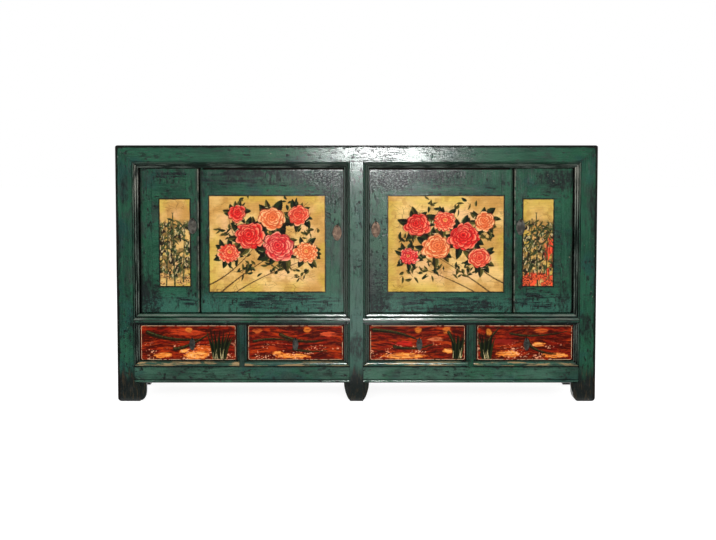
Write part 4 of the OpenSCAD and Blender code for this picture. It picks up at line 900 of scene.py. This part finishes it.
def sheet_look(name, rough, cracked, specular):
    """The painted sheets: their own colours, with brush hairs, fine cracks and rubbed places."""
    look = Look(name)
    paint = look.add("VertexColor", layer_name="paint").outputs["Color"]
    hair = look.fibres("x", 30, 700, 0, 3, 0.6)
    mottle = look.patches(0, 160, 4, 0.65)
    tone = look.sum(look.product(mottle, 0.36), 0.67, look.product(hair, 0.30))
    grey = look.add("CombineColor", {0: tone, 1: tone, 2: tone}).outputs[0]
    look.colour = look.mix(paint, grey, 1.0, mode="MULTIPLY")
    links = {0: look.stretch(26, 26, 70), 1: look.patches(0, 24, 3, 0.6)}
    bent = look.add("VectorMath", links, operation="ADD").outputs[0]
    web = look.add("TexVoronoi", {"Vector": bent, "Scale": 1.0}, feature="DISTANCE_TO_EDGE")
    crack = look.product(look.step(web.outputs["Distance"], 0.035, 0.008),
                         look.patches(0, 13, 3, 0.6, (0.46, 0.62)))
    look.lay((70, 46, 26), crack, cracked)
    scuff = look.product(look.patches(3.7, 190, 3, 0.65, (0.66, 0.72)),
                         look.patches(8.2, 16, 3, 0.6, (0.52, 0.64)))
    look.lay((62, 40, 24), scuff, 0.7)
    look.bump((hair, 0.00016), (mottle, 0.00014), (crack, -0.0002), (scuff, -0.0001))
    look.finish(look.sum(look.product(mottle, 0.25), rough), specular)


def drawer_edge_look():
    """The drawer front around its painting: dark red lacquer, cream where the edges are rubbed, and painted
    shade in its gaps.
    """
    look = Look("drawer_edge_paint")
    look.colour = look.mix((58, 16, 10), (120, 36, 18), look.fibres("x", 20, 120, 0, 4, 0.6))
    raised = look.step(look.place()[1], *DRAWER_EDGE_DEPTH)
    rub = look.patches(0, 95, 4, 0.65, (0.34, 0.50))
    look.lay((200, 158, 120), raised, rub, 0.85)
    # Painted shade in gaps and corners
    look.lay((10, 8, 7), look.shade(0.010, 0.30, 0.80), 0.9)
    look.bump((look.fibres("x", 12, 240, 0, 4, 0.6), 0.0002), (rub, 0.00008))
    look.finish(look.sum(look.product(rub, 0.2), 0.30), 0.35)


def metal_look(name, dark, light, patina, metallic=0.35):
    """Old hammered metal with patches of patina, painted shade in its hollows, and a shine on its edges."""
    look = Look(name)
    cast = look.patches(0, 70, 4, 0.62)
    pits = look.patches(0, 420, 3, 0.6)
    look.colour = look.mix(dark, light, look.step(cast, 0.38, 0.64))
    crust = look.patches(5.0, 130, 5, 0.7, (0.50, 0.64))
    look.lay(patina, crust, 0.7)
    look.lay(light, look.edges(0.0009, 0.02, 0.25), 0.5)
    # Painted shade in hollows and corners
    look.lay((12, 11, 10), look.shade(0.004, 0.25, 0.75), 0.7)
    look.bump((cast, 0.0004), (pits, 0.00009), (crust, 0.00006))
    rough = look.sum(look.product(pits, 0.16), 0.30, look.product(crust, 0.28))
    look.finish(rough, 0.5, look.minus(metallic, look.product(crust, metallic * 0.6)))


paint_look("paint_rails", "x", WORN_FRAME, reeds=True)
paint_look("paint_posts", "z", WORN_FRAME, feet=True, reeds=True)
paint_look("paint_muntins", "z", tones=DIM_TEAL)
paint_look("paint_low_rails", "x", rails=True, tones=PALE_TEAL)
paint_look("paint_end_rails", "y", gloss=0.35)
paint_look("paint_sides", "z", feet=True, gloss=0.35)
paint_look("paint_top", "x", gloss=0.35)
paint_look("paint_door_boards", "x", WORN_DOORS, doors=True, gloss=0.75)
paint_look("paint_door_frames", "z", WORN_DOORS, doors=True, gloss=0.75)
sheet_look("picture_paint", 0.34, 0.55, 0.18)
sheet_look("drawer_paint", 0.26, 0.35, 0.12)
drawer_edge_look()
wood_look("wood_along_x", "x", (84, 56, 34), (142, 104, 66))
wood_look("wood_along_y", "y", (80, 54, 33), (136, 100, 64))
# Painted shade: the door stops near black, so that the gaps above the doors show dark
wood_look("wood_stops", "x", (20, 16, 13), (42, 33, 26), 0.8)
wood_look("wood_along_z", "z", (66, 45, 29), (118, 86, 56), 0.65)
metal_look("old_iron", (50, 49, 45), (98, 96, 88), (66, 51, 42))
metal_look("dim_iron", (38, 40, 37), (74, 76, 70), (60, 40, 30))
metal_look("dark_iron", (22, 19, 17), (46, 40, 36), (52, 26, 20))
metal_look("old_copper", (94, 74, 60), (142, 116, 96), (80, 62, 48))
# The look of each node: that of the first pattern that its name fits
NODE_LOOKS = {
    "*_ring": "dark_iron", "*_wide_pull": "old_copper", "*_narrow_pull": "old_iron", "*_pull": "dim_iron",
    "drawer_*_front": "drawer_edge_paint", "drawer_*_box": "wood_along_y", "*_frame": "paint_door_frames",
    "post_front_*": "paint_posts", "top_rail_front": "paint_rails", "top_rail_back": "paint_top",
    "top_board": "paint_top", "top_rail_*": "paint_end_rails", "side_rails": "paint_end_rails",
    "*_rail_*": "paint_low_rails", "drawer_muntins": "paint_muntins", "back_posts": "paint_sides",
    "side_board_*": "paint_sides", "foot_brackets": "paint_sides", "back_boards": "wood_along_z",
    "back_rails": "wood_along_x", "cupboard_floor": "wood_along_x", "top_battens": "wood_along_y",
    "drawer_runners": "wood_along_y", "door_stops": "wood_stops", "*": "paint_door_boards",
}


def look_for(node):
    """The look of a CAD node, from its name."""
    return next(look for pattern, look in NODE_LOOKS.items() if fnmatch(node, pattern))


def ease_edges(piece):
    """Rounds a piece's sharp edges a little."""
    weld = piece.modifiers.new("weld", "WELD")
    weld.merge_threshold = WELD
    bevel = piece.modifiers.new("ease", "BEVEL")
    bevel.width = ARRIS
    bevel.segments = 2
    bevel.limit_method = "ANGLE"
    bevel.angle_limit = math.radians(SHARP_EDGE)


for node, piece in frame["nodes"].items():
    for place in piece.material_slots:
        place.material = LOOKS[look_for(node)]
    if not node.endswith(("_pull", "_ring", "_picture", "_panel")):
        ease_edges(piece)


# Painted sheets
def show(name, data):
    """A new object in the scene."""
    piece = bpy.data.objects.new(name, data)
    bpy.context.scene.collection.objects.link(piece)
    return piece


def rounded_corners(sheet, corner):
    """The sheet's x and z in mm, with its corners drawn in to a radius."""
    w, h = sheet.size
    x, z = sheet.x, sheet.y
    dx = np.where(x < corner, x - corner, np.where(x > w - corner, x - w + corner, 0))
    dz = np.where(z < corner, z - corner, np.where(z > h - corner, z - h + corner, 0))
    inside = np.maximum(np.abs(dx), np.abs(dz)) / np.maximum(np.hypot(dx, dz), 1e-9)
    pull = np.where((dx != 0) & (dz != 0), inside, 1)
    return x - dx * (1 - pull), z - dz * (1 - pull)


def painted_skin(name, node, sheet, front, thick, corner, paint):
    """A thin closed sheet with its painting, in the middle of a node: its front follows the paint's
    thickness, its back is flat."""
    low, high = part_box(node)
    left, bottom = ((low[axis] + high[axis] - size * MM) / 2 for axis, size in zip((0, 2), sheet.size))
    ny, nx = sheet.x.shape
    x, z = rounded_corners(sheet, corner) if corner else (sheet.x, sheet.y)
    fall, reach = DRAWER_EDGE if corner else PICTURE_EDGE
    drop = fall * smooth(reach - sheet.edge(), 0, reach)
    y = front + MM * (PAINT_RELIEF * (1 - np.clip(sheet.relief, 0, 1)) + drop * min(1.0, thick / MM))
    face = np.stack([left + x * MM, y, bottom + z * MM], -1).reshape(-1, 3)
    number = np.arange(nx * ny).reshape(ny, nx)
    ring = np.concatenate([number[0, :-1], number[:-1, -1], number[-1, :0:-1], number[:0:-1, 0]])
    behind = face[ring].copy()
    behind[:, 1] = front + thick + SKIN_SINK
    points = np.concatenate([face, behind, behind.mean(0)[None]])
    first, last = nx * ny, nx * ny + len(ring)
    quads = np.stack([number[:-1, :-1], number[:-1, 1:], number[1:, 1:], number[1:, :-1]], -1)
    turn = np.roll(ring, -1)
    back = first + np.arange(len(ring))
    back_turn = np.roll(back, -1)
    sides = np.stack([turn, ring, back, back_turn], -1)
    fan = [(int(b), last, int(a)) for a, b in zip(back, back_turn)]
    mesh = bpy.data.meshes.new(name)
    mesh.from_pydata(points.tolist(), [], quads.reshape(-1, 4).tolist() + sides.tolist() + fan)
    mesh.update()
    mesh.shade_smooth()
    colours = np.ones((len(points), 4), np.float32)
    colours[:first, :3] = linear(np.clip(sheet.colour, 0, 255)).reshape(-1, 3)
    colours[first:, :3] = linear((120, 90, 56))
    layer = mesh.color_attributes.new("paint", "FLOAT_COLOR", "POINT")
    layer.data.foreach_set("color", colours.ravel())
    mesh.materials.append(LOOKS[paint])
    piece = show(name, mesh)
    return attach(piece, frame["nodes"][node]["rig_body"])


for side in ("left", "right"):
    for kind in ("narrow", "wide"):
        node = f"door_{side}_{kind}_picture"
        low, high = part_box(node)
        if kind == "wide":
            sheet = flower_picture(*PICTURES[side])
        else:
            sheet = bamboo_picture(5 if side == "left" else 6, side == "right")
        skin = painted_skin(f"{side}_{kind}_painting", node, sheet, low.y, high.y - low.y, 0, "picture_paint")
        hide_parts(node)

for number, painting in enumerate(DRAWERS, 1):
    node = f"drawer_{number}_front"
    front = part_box(node)[0].y - DRAWER_SKIN
    painted_skin(f"drawer_{number}_painting", node, drawer_painting(*painting), front, DRAWER_SKIN,
                 DRAWER_CORNER, "drawer_paint")


# Stage, light and camera
def lamp(name, place, target, size, watts, glossy=True, shape="RECTANGLE"):
    """A soft lamp that faces its target."""
    light = bpy.data.lights.new(name, "AREA")
    light.shape = shape
    light.size, light.size_y = size
    light.energy = watts
    piece = show(name, light)
    piece.location = place
    piece.rotation_euler = (Vector(target) - Vector(place)).to_track_quat("-Z", "Y").to_euler()
    piece.visible_camera = False
    piece.visible_glossy = glossy


class Backdrop(Nodes):
    """A material or world that shows its bright side to the camera and, behind the object, to glossy and
    transmission rays, its dim side to such rays in front of the object, and its plain side to all others."""

    def __init__(self, tree, coordinate, turn):
        super().__init__(tree)
        tree.nodes.clear()
        place = self.add("TexCoord").outputs[coordinate]
        self.x, self.y = self.add("SeparateXYZ", {0: place}).outputs[:2]
        path = self.add("LightPath").outputs
        camera = path["Is Camera Ray"]
        self.seen = self.most(camera, path["Is Glossy Ray"], path["Is Transmission Ray"])
        self.bright = self.most(camera, self.step(self.y, *turn))

    def light(self, kind, strength):
        return self.add(kind, {"Color": (1, 1, 1, 1), "Strength": strength}).outputs[0]

    def matt(self, grey):
        return self.add("BsdfDiffuse", {"Color": (grey, grey, grey, 1)}).outputs[0]

    def band(self, ahead):
        """The dim side's strength: a soft upright band of glow where x is BAND_AT of the way ahead."""
        slope = self.minus(self.math("DIVIDE", self.x, ahead), BAND_AT)
        square = self.math("POWER", self.math("DIVIDE", slope, BAND_WIDTH), 2.0)
        glow = self.math("EXPONENT", self.product(square, -0.5), 0.0)
        return self.sum(self.product(glow, BAND_GLOW), ROOM_DIM)

    def choice(self, share, a, b):
        return self.add("MixShader", {0: share, 1: a, 2: b}).outputs[0]

    def finish(self, output, plain, dim, white):
        shown = self.choice(self.bright, dim, white)
        self.add(output, {"Surface": self.choice(self.seen, plain, shown)})


floor_mesh = bpy.data.meshes.new("floor")
corners = [(x * FLOOR_REACH, y * FLOOR_REACH, 0) for x, y in ((-1, -1), (1, -1), (1, 1), (-1, 1))]
floor_mesh.from_pydata(corners, [], [(0, 1, 2, 3)])
floor = show("floor", floor_mesh)
floor_material = bpy.data.materials.new("pale_floor")
floor_material.use_nodes = True
ground = Backdrop(floor_material.node_tree, "Object", FLOOR_TURN)
lit = ground.add("AddShader", {0: ground.matt(FLOOR_GREY), 1: ground.light("Emission", FLOOR_GLOW)})
fade = ground.add("MapRange", {"Value": ground.y, "From Min": FLOOR_FADE[0], "From Max": FLOOR_FADE[1]})
haze = ground.product(ground.band(ground.minus(MIRRORED_EYE, ground.y)), fade.outputs[0])
dim = ground.light("Emission", ground.most(haze, ROOM_DIM))
ground.finish("OutputMaterial", ground.matt(FLOOR_BOUNCE), dim, lit.outputs[0])
floor_mesh.materials.append(floor_material)

world = bpy.data.worlds.new("studio")
bpy.context.scene.world = world
world.use_nodes = True
room = Backdrop(world.node_tree, "Generated", WORLD_TURN)
dim = room.light("Background", room.band(room.product(room.y, -1.0)))
room.finish("OutputWorld", room.light("Background", ROOM_LIGHT), dim, room.light("Background", 1.0))

for number, (width, height, radiance) in enumerate(FLASH, 1):
    watts = radiance * math.pi * width * height
    lamp(f"flash_{number}", FLASH_PLACE, FLASH_TARGET, (width, height), watts, True, "ELLIPSE")
lamp("key", (-0.2, -4.3, 1.2), (0.0, 0.0, 0.36), (2.6, 1.2), 158, glossy=False)
for name, place, size in (("left", (-4.0, 1.0, 2.4), (1.6, 1.6)), ("right", (4.0, 1.0, 2.4), (1.6, 1.6)),
                          ("back", (0.0, 4.5, 2.4), (2.0, 1.2))):
    lamp(name, place, (0.0, 0.0, 0.4), size, 60)

camera = show("camera", bpy.data.cameras.new("camera"))
camera.location = EYE
camera.rotation_euler = (math.radians(TILT), 0.0, 0.0)
camera.data.sensor_width = SENSOR
camera.data.lens = LENS
camera.data.clip_end = 100.0
bpy.context.scene.camera = camera
bpy.context.scene.view_settings.view_transform = "Standard"
